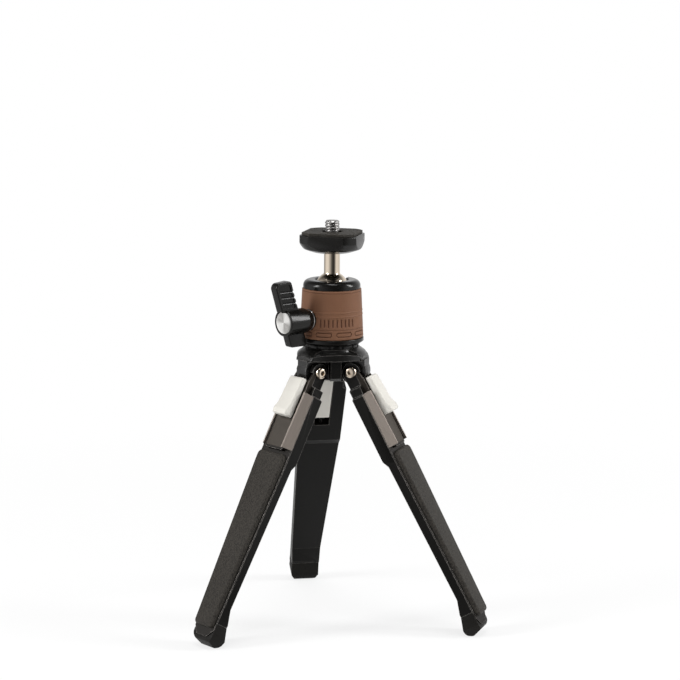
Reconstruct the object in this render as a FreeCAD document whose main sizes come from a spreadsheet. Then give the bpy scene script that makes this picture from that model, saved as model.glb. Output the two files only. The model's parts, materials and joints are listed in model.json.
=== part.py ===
import FreeCAD, Part
import math
import os
import Sketcher

# Mini tripod with a ball head, in millimetres, +Z up.
# The origin is the middle of the camera seat, the top of the rubber pad that the camera rests on.
# The back leg points along +Y. The two front legs stand 120 degrees round from it on either side.
# Round pieces of the head and the crown are drawn with Z = 0 at the height of the leg hinges.
# A leg's own pieces are drawn hanging straight down from the hinge: X outward, Y across, Z up the leg.

DRIVING_SIZES = [
    # Stand
    ("legTilt", 28.5),
    ("legLength", 126.9),
    ("footOffset", 5.25),
    ("hingeRadius", 11.26),
    # Crown
    ("crownRise", 10.2),
    ("crownRoof", 5.3),
    ("crownSide", 12.2),
    ("crownEnd", 16.6),
    ("shoulderRadius", 12.3),
    ("shoulderDrop", 1.7),
    ("shoulderEdge", 14.9),
    ("hubRadius", 6.7),
    ("hubDrop", 3.9),
    ("ribWide", 4.6),
    ("ribReach", 11.8),
    ("spigotRadius", 5.0),
    ("lugWide", 6.2),
    ("lugRadius", 6.0),
    ("toothReach", 17.2),
    ("toothDrop", 0.8),
    ("facetDrop", 3.45),
    ("facetDeep", 1.1),
    # Clearances
    ("fitGap", 0.05),
    ("runGap", 0.1),
    ("slotGap", 0.3),
    # Lock ring and base ring
    ("lockRingRadius", 12.0),
    ("lockRingHigh", 1.3),
    ("scallopRadius", 1.5),
    ("scallopDeep", 0.55),
    ("scallopCount", 14),
    ("baseRingRadius", 14.2),
    ("baseRingHigh", 2.7),
    ("baseRingFoot", 12.5),
    ("baseRingLip", 1.5),
    # Head
    ("sleeveHigh", 21.7),
    ("sleeveFootWall", 3.15),
    ("sleeveTopWall", 2.1),
    ("housingRadius", 10.9),
    ("cavityRadius", 8.2),
    ("cavityFloor", 5.3),
    ("leverRise", 8.6),
    ("bossRadius", 4.7),
    ("bossOut", 2.55),
    ("collarHigh", 3.7),
    ("collarRadius", 12.6),
    ("collarRound", 2.5),
    ("collarMouth", 6.95),
    ("mouthDeep", 1.1),
    ("mouthFlare", 0.6),
    ("notchAngle", 60),
    ("notchWide", 9.0),
    # Ball, neck and cup
    ("ballRadius", 7.5),
    ("ballFlat", 68),
    ("ballSink", 0.43),
    ("neckRadius", 3.5),
    ("neckFlare", 4.0),
    ("neckRise", 16.2),
    ("neckTenon", 3.0),
    ("cupRadius", 7.95),
    ("cupFloor", 0.9),
    ("cupWall", 2.9),
    ("wedgeTop", 4.2),
    ("wedgeTip", 1.2),
    # Camera plate
    ("plateRadius", 15.0),
    ("plateFlat", 12.7),
    ("plateThick", 7.9),
    ("plateUnderRadius", 9.6),
    ("plateUnderRise", 2.3),
    ("plateEdge", 0.5),
    ("plateTurn", -24.5),
    ("padThick", 1.2),
    ("padInset", 0.9),
    ("padHole", 4.6),
    ("screwRadius", 3.175),
    ("screwReach", 4.8),
    ("screwShank", 2.9),
    ("screwTip", 0.5),
    # Clamp and lever
    ("leverAngle", 210),
    ("clampRadius", 2.5),
    ("thrustTip", 0.1),
    ("thrustEnd", 10.2),
    ("thrustGap", 0.25),
    ("barrelInner", 4.7),
    ("barrelMiddle", 5.6),
    ("barrelOuter", 6.0),
    ("barrelTaper", 2.6),
    ("barrelEnd", 27.4),
    ("screwDepth", 10.4),
    ("leverLean", 18.0),
    ("barMiddle", 23.4),
    ("barWide", 9.3),
    ("barThick", 4.0),
    ("wingRise", 18.3),
    ("stubDrop", 11.0),
    ("wingSlant", 0.9),
    ("wingRound", 2.2),
    ("stubRound", 1.2),
    ("gripCutStart", 7.0),
    ("gripCutPitch", 2.9),
    ("gripCutWide", 1.1),
    ("gripCutInset", 1.8),
    ("gripCut", 0.45),
    ("capRadius", 5.0),
    ("capThick", 0.8),
    ("capDome", 0.3),
    ("washerRadius", 4.75),
    ("washerThick", 0.5),
    # Head stud
    ("studRadius", 3.175),
    ("studHeadRadius", 4.6),
    ("studHeadHigh", 3.0),
    ("studEngage", 4.6),
    ("studHex", 2.4),
    # Leg core
    ("knuckleRadius", 4.0),
    ("earHalf", 5.7),
    ("stepHalf", 7.9),
    ("legHalf", 9.5),
    ("stepTop", 6.8),
    ("legTop", 10.8),
    ("stepRamp", 0.6),
    ("innerFace", 4.0),
    ("bedFace", 1.4),
    ("thinInner", 2.5),
    ("innerStep", 41.5),
    ("innerRamp", 3.0),
    ("taperStart", 44.0),
    ("heelHalf", 6.5),
    ("flareRamp", 6.5),
    ("flareLand", 1.1),
    ("flareDeep", 4.6),
    ("forkHalf", 3.4),
    ("forkEnd", 32.4),
    ("pinRadius", 1.75),
    ("rodRadius", 0.8),
    ("rodLong", 9.0),
    ("rodOut", 1.4),
    # Leg shell
    ("shellTop", 1.5),
    ("shellEnd", 36.9),
    ("plateauFace", 5.3),
    ("plateauHalf", 6.4),
    ("trackHalf", 5.9),
    ("trackFace", 3.9),
    ("trackEnd", 37.9),
    ("trackRound", 2.4),
    ("trayThick", 0.5),
    ("slopeStart", 3.0),
    ("slopeKnee", 9.0),
    ("slopeKneeFace", 4.7),
    ("sliverHalf", 4.7),
    ("latchClear", 6.35),
    ("shellForkEnd", 23.2),
    ("trayShort", 2.7),
    ("trayTip", 3.2),
    # Rubber grip pad on each leg
    ("gripStart", 39.3),
    ("gripPast", 2.8),
    ("gripInset", 0.3),
    ("gripThick", 2.3),
    ("gripEdge", 0.9),
    ("gripCorner", 1.3),
    # Foot
    ("soleHalf", 1.5),
    ("soleWide", 3.9),
    ("toeFace", 0.6),
    ("footHigh", 9.3),
    ("toeShort", 0.9),
    ("heelFace", 6.9),
    ("heelShort", 2.9),
    ("soleChamferHigh", 2.6),
    # Latch
    ("latchTop", 5.1),
    ("latchEnd", 23.4),
    ("latchHalf", 5.0),
    ("latchTopFace", 6.6),
    ("latchRampFace", 7.9),
    ("latchRampEnd", 19.4),
    ("latchLipFace", 8.9),
    ("latchLipWide", 2.6),
    ("latchRound", 0.7),
    ("webHalf", 3.1),
    ("webTop", 6.4),
    ("webStep", 18.8),
    ("webEnd", 28.0),
    ("springBore", 1.6),
    ("springOuter", 1.4),
    ("springInner", 1.0),
    ("springTop", 14.6),
    # Hinge pins
    ("pinHeadRadius", 2.6),
    ("pinHeadHigh", 1.25),
]

doc = FreeCAD.newDocument("mini_tripod")
sheet = doc.addObject("Spreadsheet::Sheet", "dim")
for row, (alias, value) in enumerate(DRIVING_SIZES, start=1):
    sheet.set(f"A{row}", str(value))
    sheet.setAlias(f"A{row}", alias)
doc.recompute()

LEG_AZIMUTHS = {"back": 90, "left": 210, "right": 330}

# Heights above the hinges, each stacked on the one below it.
CROWN_TOP = "dim.crownRise"
ROOF_UNDER = "(dim.crownRise - dim.crownRoof)"
LOCK_RING_LOW = "(dim.crownRise + dim.runGap)"
LOCK_RING_TOP = f"({LOCK_RING_LOW} + dim.lockRingHigh)"
BASE_LOW = f"({LOCK_RING_TOP} + dim.runGap)"
BASE_TOP = f"({BASE_LOW} + dim.baseRingHigh)"
HOUSING_TOP = f"({BASE_TOP} + dim.sleeveHigh)"
CAVITY_LOW = f"({BASE_TOP} + dim.cavityFloor)"
LEVER_LEVEL = f"({BASE_TOP} + dim.leverRise)"
BALL_LEVEL = f"({HOUSING_TOP} - dim.ballSink)"
PLATE_LOW = f"({BALL_LEVEL} + dim.neckRise)"
PLATE_TOP = f"({PLATE_LOW} + dim.plateThick)"
SEAT = f"({PLATE_TOP} + dim.padThick)"

TILT = "(dim.legTilt * 1deg)"

# Distances out from the head's middle, each outside the one before.
BOSS_REACH = "(dim.housingRadius + dim.bossOut)"
BARREL_START = f"({BOSS_REACH} + dim.fitGap + dim.washerThick + dim.runGap)"

# Distances down a leg from its hinge, each set back from the leg's end.
CORE_END = "(dim.legLength - dim.footHigh)"
FLARE_END = f"({CORE_END} - dim.flareLand)"
GRIP_END = f"({CORE_END} + dim.gripPast)"
TRAY_END = "(dim.legLength - dim.trayShort)"

pieces = []


def number(alias):
    return float(sheet.get(alias))


def place(thing, angle="0", rise="0"):
    """Hang a piece of the stack from the camera seat, turned about the upright axis."""
    thing.setExpression(".Placement.Base.z", f"{rise} - {SEAT}")
    thing.setExpression(".Placement.Rotation.Angle", f"({angle}) * 1deg")
    thing.Placement.Rotation.Axis = FreeCAD.Vector(0, 0, 1)
    pieces.append(thing)


def placeOnLeg(thing, azimuth):
    """Swing a leg piece outward about its hinge, then turn it to its leg's azimuth."""
    swing = FreeCAD.Rotation(FreeCAD.Vector(0, 1, 0), -number("legTilt"))
    turn = FreeCAD.Rotation(FreeCAD.Vector(0, 0, 1), azimuth)
    thing.Placement.Rotation = turn.multiply(swing)
    thing.setExpression(".Placement.Base.x", f"dim.hingeRadius * cos({azimuth}deg)")
    thing.setExpression(".Placement.Base.y", f"dim.hingeRadius * sin({azimuth}deg)")
    thing.setExpression(".Placement.Base.z", f"-{SEAT}")
    pieces.append(thing)


def newBody(label):
    body = doc.addObject("PartDesign::Body", label)
    body.Label = label
    return body


def sketchOn(body, role, name, lift=None):
    plane = next(item for item in body.Origin.OriginFeatures if item.Role == role)
    sketch = body.newObject("Sketcher::SketchObject", name)
    sketch.AttachmentSupport = (plane, [""])
    sketch.MapMode = "FlatFace"
    if lift:
        sketch.setExpression(".AttachmentOffset.Base.z", lift)
    return sketch


def pin(sketch, kind, geometry, point, text):
    index = sketch.addConstraint(Sketcher.Constraint(kind, -1, 1, geometry, point, 1.0))
    sketch.setExpression(f"Constraints[{index}]", text)


def polygon(sketch, corners):
    """Closed outline whose corners are pairs of expressions."""
    first = sketch.GeometryCount
    count = len(corners)
    ring = [
        FreeCAD.Vector(math.cos(2 * math.pi * i / count), math.sin(2 * math.pi * i / count), 0)
        for i in range(count)
    ]
    for i in range(count):
        sketch.addGeometry(Part.LineSegment(ring[i], ring[(i + 1) % count]), False)
    for i in range(count):
        following = first + (i + 1) % count
        sketch.addConstraint(Sketcher.Constraint("Coincident", first + i, 2, following, 1))
    for i, (across, along) in enumerate(corners):
        pin(sketch, "DistanceX", first + i, 1, across)
        pin(sketch, "DistanceY", first + i, 1, along)


def mirrored(corners):
    """Outline that is the same on both sides of the sketch's upright axis."""
    return corners + [(f"-({across})", along) for across, along in reversed(corners)]


def evenSided(count, radius, middle="0"):
    """Corners of an even-sided outline, from its middle's distance along the sketch's first axis."""
    turns = [360 * i / count for i in range(count)]
    return [(f"{middle} + {radius} * cos({turn}deg)", f"{radius} * sin({turn}deg)") for turn in turns]


def circle(sketch, across, along, radius):
    index = sketch.addGeometry(Part.Circle(FreeCAD.Vector(0, 0, 0), FreeCAD.Vector(0, 0, 1), 1.0), False)
    pin(sketch, "DistanceX", index, 3, across)
    pin(sketch, "DistanceY", index, 3, along)
    bound = sketch.addConstraint(Sketcher.Constraint("Radius", index, 1.0))
    sketch.setExpression(f"Constraints[{bound}]", radius)


def extrude(kind, body, sketch, length, name, both=False, back=False):
    feature = body.newObject(f"PartDesign::{kind}", name)
    feature.Profile = sketch
    feature.setExpression("Length", length)
    if both:
        feature.SideType = "Symmetric"
    feature.Reversed = back
    return feature


def turnProfile(kind, body, sketch, name, axis="V_Axis"):
    feature = body.newObject(f"PartDesign::{kind}", name)
    feature.Profile = sketch
    feature.ReferenceAxis = (sketch, [axis])
    feature.Angle = 360
    return feature


def edgesOf(feature, wanted):
    return [f"Edge{i}" for i, edge in enumerate(feature.Shape.Edges, start=1) if wanted(edge)]


def dress(kind, body, base, edges, sizeText, name):
    """Fillet or chamfer the chosen edges of a feature."""
    feature = body.newObject(f"PartDesign::{kind}", name)
    feature.Base = (base, edges)
    feature.setExpression("Radius" if kind == "Fillet" else "Size", sizeText)
    return feature


def repeatRound(body, features, count, name):
    pattern = body.newObject("PartDesign::PolarPattern", name)
    pattern.Originals = features
    axis = next(item for item in body.Origin.OriginFeatures if item.Role == "Z_Axis")
    pattern.Axis = (axis, [""])
    pattern.Angle = 360
    pattern.Occurrences = count
    body.Tip = pattern
    return pattern


# Camera plate: a turned disc with four flats, screwed on the neck

def cutFlats(body, half, low, thick, name):
    sketch = sketchOn(body, "XY_Plane", f"{name}_flats_outline", low)
    circle(sketch, "0", "0", "dim.plateRadius * 2")
    polygon(sketch, [(half, half), (f"-({half})", half), (f"-({half})", f"-({half})"), (half, f"-({half})")])
    extrude("Pocket", body, sketch, thick, f"{name}_flats", back=True)


def makePlate():
    body = newBody("camera_plate")
    sketch = sketchOn(body, "XZ_Plane", "plate_profile")
    polygon(sketch, [
        ("dim.neckRadius + dim.fitGap", PLATE_LOW),
        ("dim.plateUnderRadius", PLATE_LOW),
        ("dim.plateRadius", f"{PLATE_LOW} + dim.plateUnderRise"),
        ("dim.plateRadius", f"{PLATE_TOP} - dim.plateEdge"),
        ("dim.plateRadius - dim.plateEdge", PLATE_TOP),
        ("dim.screwShank + dim.fitGap", PLATE_TOP),
        ("dim.screwShank + dim.fitGap", f"{PLATE_LOW} + dim.neckTenon + dim.runGap"),
        ("dim.neckRadius + dim.fitGap", f"{PLATE_LOW} + dim.neckTenon + dim.runGap"),
    ])
    turnProfile("Revolution", body, sketch, "plate_turned")
    cutFlats(body, "dim.plateFlat", PLATE_LOW, "dim.plateThick", "plate")
    place(body, "dim.plateTurn")


def makePlatePad():
    body = newBody("plate_pad")
    sketch = sketchOn(body, "XY_Plane", "pad_disc", PLATE_TOP)
    circle(sketch, "0", "0", "dim.plateRadius - dim.padInset")
    circle(sketch, "0", "0", "dim.padHole")
    extrude("Pad", body, sketch, "dim.padThick", "pad_sheet")
    cutFlats(body, "dim.plateFlat - dim.padInset", PLATE_TOP, "dim.padThick", "pad")
    place(body, "dim.plateTurn")


def makeCameraScrew():
    body = newBody("camera_screw")
    sketch = sketchOn(body, "XZ_Plane", "screw_profile")
    low = f"{PLATE_LOW} + dim.neckTenon + dim.runGap * 2"
    polygon(sketch, [
        ("0", low),
        ("dim.screwShank", low),
        ("dim.screwShank", SEAT),
        ("dim.screwRadius", SEAT),
        ("dim.screwRadius", f"{SEAT} + dim.screwReach - dim.screwTip"),
        ("dim.screwRadius - dim.screwTip", f"{SEAT} + dim.screwReach"),
        ("0", f"{SEAT} + dim.screwReach"),
    ])
    turnProfile("Revolution", body, sketch, "screw_turned")
    place(body)


# Ball with its neck, one turned and plated piece

def makeBall():
    ball = doc.addObject("Part::Sphere", "ball_round")
    ball.setExpression("Radius", "dim.ballRadius")
    ball.setExpression("Angle1", "-dim.ballFlat * 1deg")
    ball.setExpression("Angle2", "acos(dim.neckFlare / dim.ballRadius)")
    ball.setExpression(".Placement.Base.z", BALL_LEVEL)
    neck = doc.addObject("Part::Cylinder", "neck_post")
    neck.setExpression("Radius", "dim.neckRadius")
    neck.setExpression("Height", "dim.neckRise + dim.neckTenon")
    neck.setExpression(".Placement.Base.z", BALL_LEVEL)
    flare = doc.addObject("Part::Cone", "neck_flare")
    flare.setExpression("Radius1", "dim.neckFlare")
    flare.setExpression("Radius2", "dim.neckRadius")
    flare.setExpression("Height", "(dim.neckFlare - dim.neckRadius) * 2")
    flare.setExpression(".Placement.Base.z", f"{BALL_LEVEL} + sqrt(dim.ballRadius^2 - dim.neckFlare^2)")
    stem = doc.addObject("Part::MultiFuse", "ball_stem")
    stem.Label = "ball_stem"
    stem.Shapes = [ball, neck, flare]
    place(stem)


# Head: collar, housing and rubber sleeve, all cut by the drop notch for the neck

def cutNotch(body, top, name):
    """Slot with a round bottom, cut from the middle out to one side, for the neck to drop into."""
    half = "dim.notchWide / 2"
    slot = sketchOn(body, "YZ_Plane", f"{name}_slot_outline")
    polygon(slot, mirrored([(half, top), (half, BALL_LEVEL)]))
    extrude("Pocket", body, slot, "dim.collarRadius * 2", f"{name}_slot", back=True)
    bottom = sketchOn(body, "YZ_Plane", f"{name}_slot_end_outline")
    circle(bottom, "0", BALL_LEVEL, half)
    extrude("Pocket", body, bottom, "dim.collarRadius * 2", f"{name}_slot_end", back=True)


def makeCollar():
    body = newBody("head_collar")
    sketch = sketchOn(body, "XZ_Plane", "collar_profile")
    top = f"{HOUSING_TOP} + dim.collarHigh"
    rim = [
        (f"dim.collarRadius - dim.collarRound * (1 - cos({turn}deg))",
         f"{top} - dim.collarRound * (1 - sin({turn}deg))") for turn in (0, 45, 90)
    ]
    polygon(sketch, [("dim.cavityRadius", HOUSING_TOP), ("dim.collarRadius", HOUSING_TOP)] + rim + [
        ("dim.collarMouth + dim.mouthFlare", top),
        ("dim.collarMouth", f"{top} - dim.mouthDeep"),
    ])
    turnProfile("Revolution", body, sketch, "collar_turned")
    cutNotch(body, f"{top} + 1", "collar")
    place(body, "dim.notchAngle")


def makeHousing():
    body = newBody("head_housing")
    sketch = sketchOn(body, "XZ_Plane", "housing_profile")
    polygon(sketch, [
        ("dim.studRadius + dim.fitGap", BASE_TOP),
        ("dim.housingRadius", BASE_TOP),
        ("dim.housingRadius", HOUSING_TOP),
        ("dim.cavityRadius", HOUSING_TOP),
        ("dim.cavityRadius", CAVITY_LOW),
        ("dim.studRadius + dim.fitGap", CAVITY_LOW),
    ])
    turnProfile("Revolution", body, sketch, "housing_turned")
    boss = sketchOn(body, "YZ_Plane", "boss_outline")
    turnToLever(boss, "dim.cavityRadius + 1")
    circle(boss, "0", LEVER_LEVEL, "dim.bossRadius")
    extrude("Pad", body, boss, f"{BOSS_REACH} - dim.cavityRadius - 1", "lever_boss")
    bore = sketchOn(body, "YZ_Plane", "clamp_bore_outline")
    turnToLever(bore)
    circle(bore, "0", LEVER_LEVEL, "dim.clampRadius + dim.fitGap")
    extrude("Pocket", body, bore, f"{BOSS_REACH} + 1", "clamp_bore", back=True)
    cutNotch(body, f"{HOUSING_TOP} + 1", "housing")
    place(body, "dim.notchAngle")


def turnToLever(sketch, lift="0"):
    """Face an upright sketch towards the lever, this far out from the upright axis."""
    turn = number("leverAngle") - number("notchAngle")
    side = FreeCAD.Rotation(FreeCAD.Vector(0, 1, 0), turn)
    sketch.AttachmentOffset = FreeCAD.Placement(FreeCAD.Vector(0, 0, 0), side)
    angle = "((dim.leverAngle - dim.notchAngle) * 1deg)"
    sketch.setExpression(".AttachmentOffset.Base.x", f"({lift}) * sin({angle})")
    sketch.setExpression(".AttachmentOffset.Base.z", f"({lift}) * cos({angle})")
    sketch.setExpression(".AttachmentOffset.Rotation.Angle", angle)


def makeSleeve():
    body = newBody("grip_sleeve")
    sketch = sketchOn(body, "XZ_Plane", "sleeve_profile")
    low = f"({BASE_TOP} + dim.runGap)"
    top = f"({HOUSING_TOP} - dim.runGap)"
    polygon(sketch, [
        ("dim.housingRadius + dim.fitGap", low),
        ("dim.housingRadius + dim.sleeveFootWall", low),
        ("dim.housingRadius + dim.sleeveTopWall", top),
        ("dim.housingRadius + dim.fitGap", top),
    ])
    turnProfile("Revolution", body, sketch, "sleeve_turned")
    hole = sketchOn(body, "YZ_Plane", "sleeve_hole_outline")
    turnToLever(hole)
    circle(hole, "0", LEVER_LEVEL, "dim.bossRadius + dim.runGap")
    extrude("Pocket", body, hole, f"{BOSS_REACH} * 2", "sleeve_hole", back=True)
    cutNotch(body, f"{HOUSING_TOP} + 1", "sleeve")
    place(body, "dim.notchAngle")


def makeCup():
    """Lower seat of the ball, with a cone under it that the thrust pin wedges up."""
    body = newBody("ball_cup")
    sketch = sketchOn(body, "XZ_Plane", "cup_profile")
    reach = "(dim.ballRadius + dim.runGap)"
    floor = f"({BALL_LEVEL} - {reach})"
    cone = f"({reach} * sqrt(2) - {reach})"
    polygon(sketch, [
        ("0", WEDGE_LOW),
        ("dim.wedgeTip", WEDGE_LOW),
        ("dim.wedgeTop", f"{floor} - dim.cupFloor"),
        ("dim.cupRadius", f"{floor} - dim.cupFloor"),
        ("dim.cupRadius", f"{floor} + dim.cupWall"),
        (f"{cone} + dim.cupWall", f"{floor} + dim.cupWall"),
        (cone, floor),
        ("0", floor),
    ])
    turnProfile("Revolution", body, sketch, "cup_turned")
    place(body)


WEDGE_LOW = f"({LEVER_LEVEL} + dim.wedgeTip)"


# Rings under the head

def makeBaseRing():
    body = newBody("base_ring")
    sketch = sketchOn(body, "XZ_Plane", "base_ring_profile")
    polygon(sketch, [
        ("dim.studRadius + dim.fitGap", BASE_LOW),
        ("dim.baseRingFoot", BASE_LOW),
        ("dim.baseRingRadius", f"{BASE_TOP} - dim.baseRingLip"),
        ("dim.baseRingRadius", BASE_TOP),
        ("dim.studRadius + dim.fitGap", BASE_TOP),
    ])
    turnProfile("Revolution", body, sketch, "base_ring_turned")
    place(body)


def makeLockRing():
    body = newBody("lock_ring")
    sketch = sketchOn(body, "XY_Plane", "lock_ring_disc", LOCK_RING_LOW)
    circle(sketch, "0", "0", "dim.lockRingRadius")
    circle(sketch, "0", "0", "dim.spigotRadius + dim.runGap")
    extrude("Pad", body, sketch, "dim.lockRingHigh", "lock_ring_sheet")
    scallop = sketchOn(body, "XY_Plane", "scallop_outline", LOCK_RING_LOW)
    circle(scallop, "dim.lockRingRadius + dim.scallopRadius - dim.scallopDeep", "0", "dim.scallopRadius")
    cut = extrude("Pocket", body, scallop, "dim.lockRingHigh", "scallop", back=True)
    repeatRound(body, [cut], int(number("scallopCount")), "scallops")
    place(body)


def makeStud():
    body = newBody("head_stud")
    sketch = sketchOn(body, "XZ_Plane", "stud_profile")
    headTop = "(dim.studHeadHigh - dim.hubDrop)"
    polygon(sketch, [
        ("0", "-dim.hubDrop"),
        ("dim.studHeadRadius", "-dim.hubDrop"),
        ("dim.studHeadRadius", headTop),
        ("dim.studRadius", headTop),
        ("dim.studRadius", f"{BASE_TOP} + dim.studEngage"),
        ("0", f"{BASE_TOP} + dim.studEngage"),
    ])
    turnProfile("Revolution", body, sketch, "stud_turned")
    hexagon = sketchOn(body, "XY_Plane", "stud_socket_outline", "-dim.hubDrop")
    polygon(hexagon, evenSided(6, "dim.studHex"))
    extrude("Pocket", body, hexagon, "dim.studHeadHigh * 0.7", "stud_socket", back=True)
    place(body)


# Crown: the casting that carries the three hinge lugs

def makeCrown():
    body = newBody("crown")
    hub = sketchOn(body, "XZ_Plane", "hub_profile")
    bore = "dim.studRadius + dim.fitGap"
    counterbore = "dim.studHeadRadius + dim.runGap"
    shelf = "dim.studHeadHigh - dim.hubDrop + dim.runGap"
    polygon(hub, [
        (counterbore, "-dim.hubDrop"),
        ("dim.hubRadius", "-dim.hubDrop"),
        ("dim.hubRadius", CROWN_TOP),
        ("dim.spigotRadius", CROWN_TOP),
        ("dim.spigotRadius", LOCK_RING_TOP),
        (bore, LOCK_RING_TOP),
        (bore, shelf),
        (counterbore, shelf),
    ])
    turnProfile("Revolution", body, hub, "hub_turned")

    roof = sketchOn(body, "XY_Plane", "roof_outline", ROOF_UNDER)
    circle(roof, "0", "0", "dim.spigotRadius + 0.5")
    corner = "sqrt(dim.crownEnd^2 - dim.crownSide^2)"
    corners = []
    for i in range(3):
        middle = 60 + 120 * i
        for side in ("-", "+"):
            across = f"dim.crownSide * cos({middle}deg) {side} -({corner}) * sin({middle}deg)"
            along = f"dim.crownSide * sin({middle}deg) {side} ({corner}) * cos({middle}deg)"
            corners.append((across, along))
    polygon(roof, corners)
    extrude("Pad", body, roof, "dim.crownRoof", "roof")

    shoulder = sketchOn(body, "XZ_Plane", "shoulder_profile")
    polygon(shoulder, [
        ("dim.shoulderRadius", f"{CROWN_TOP} + 0.01"),
        ("dim.shoulderEdge", f"{CROWN_TOP} - dim.shoulderDrop"),
        ("dim.crownEnd + 0.3", f"{ROOF_UNDER} + 0.4"),
        ("dim.crownEnd + 3", f"{ROOF_UNDER} + 0.4"),
        ("dim.crownEnd + 3", f"{CROWN_TOP} + 0.01"),
    ])
    turnProfile("Groove", body, shoulder, "shoulder")

    facet = sketchOn(body, "XZ_Plane", "facet_outline")
    polygon(facet, [
        ("-dim.crownSide", f"{CROWN_TOP} - dim.facetDrop"),
        ("-dim.crownSide + dim.facetDeep", f"{CROWN_TOP} + 0.01"),
        ("-dim.crownSide - 1", f"{CROWN_TOP} + 0.01"),
        ("-dim.crownSide - 1", f"{CROWN_TOP} - dim.facetDrop"),
    ])
    facetCut = extrude("Pocket", body, facet, "dim.crownEnd * 2", "facet", both=True)

    lug = sketchOn(body, "XZ_Plane", "lug_outline")
    polygon(lug, [
        ("dim.hubRadius - 1", f"{ROOF_UNDER} + 0.5"),
        ("dim.crownEnd", f"{ROOF_UNDER} + 0.5"),
        ("dim.crownEnd", "1"),
        ("dim.toothReach", "-dim.toothDrop"),
        ("dim.hingeRadius + dim.lugRadius * cos(25deg)", "-dim.lugRadius * sin(25deg)"),
        ("dim.hingeRadius", "-dim.lugRadius * 0.5"),
        ("dim.hubRadius - 1", "-dim.lugRadius * 0.5"),
    ])
    lugPad = extrude("Pad", body, lug, "dim.lugWide", "lug", both=True)
    cam = sketchOn(body, "XZ_Plane", "cam_outline")
    circle(cam, "dim.hingeRadius", "0", "dim.lugRadius")
    camPad = extrude("Pad", body, cam, "dim.lugWide", "cam", both=True)

    rib = sketchOn(body, "XZ_Plane", "rib_outline")
    polygon(rib, [
        ("-dim.hubRadius + 1", f"{ROOF_UNDER} + 0.5"),
        ("-dim.ribReach", f"{ROOF_UNDER} + 0.5"),
        ("-dim.ribReach", "-dim.hubDrop + 1.2"),
        ("-dim.ribReach + 1.2", "-dim.hubDrop"),
        ("-dim.hubRadius + 1", "-dim.hubDrop"),
    ])
    ribPad = extrude("Pad", body, rib, "dim.ribWide", "rib", both=True)

    pinHole = sketchOn(body, "XZ_Plane", "pin_hole_outline")
    circle(pinHole, "dim.hingeRadius", "0", "dim.pinRadius + dim.fitGap")
    pinCut = extrude("Pocket", body, pinHole, "dim.lugWide + 2", "pin_hole", both=True)
    repeatRound(body, [facetCut, lugPad, camPad, ribPad, pinCut], 3, "three_sides")
    place(body, "90")


# Clamp: lever, screw and the pin that wedges the cup against the ball

def placeOnLever(thing):
    place(thing, "dim.leverAngle", LEVER_LEVEL)


def makeThrustPin():
    body = newBody("thrust_pin")
    sketch = sketchOn(body, "XZ_Plane", "thrust_profile")
    polygon(sketch, [
        ("dim.thrustTip", "0"),
        ("dim.thrustTip + dim.clampRadius", "dim.clampRadius"),
        ("dim.thrustEnd", "dim.clampRadius"),
        ("dim.thrustEnd", "0"),
    ])
    turnProfile("Revolution", body, sketch, "thrust_turned", "H_Axis")
    placeOnLever(body)


def makeClampScrew():
    body = newBody("clamp_screw")
    sketch = sketchOn(body, "XZ_Plane", "clamp_screw_profile")
    start = "dim.thrustEnd + dim.thrustGap"
    end = f"{BARREL_START} + dim.screwDepth - dim.runGap"
    polygon(sketch, [
        (start, "0"),
        (start, "dim.clampRadius"),
        (end, "dim.clampRadius"),
        (end, "0"),
    ])
    turnProfile("Revolution", body, sketch, "clamp_screw_turned", "H_Axis")
    placeOnLever(body)


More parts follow.
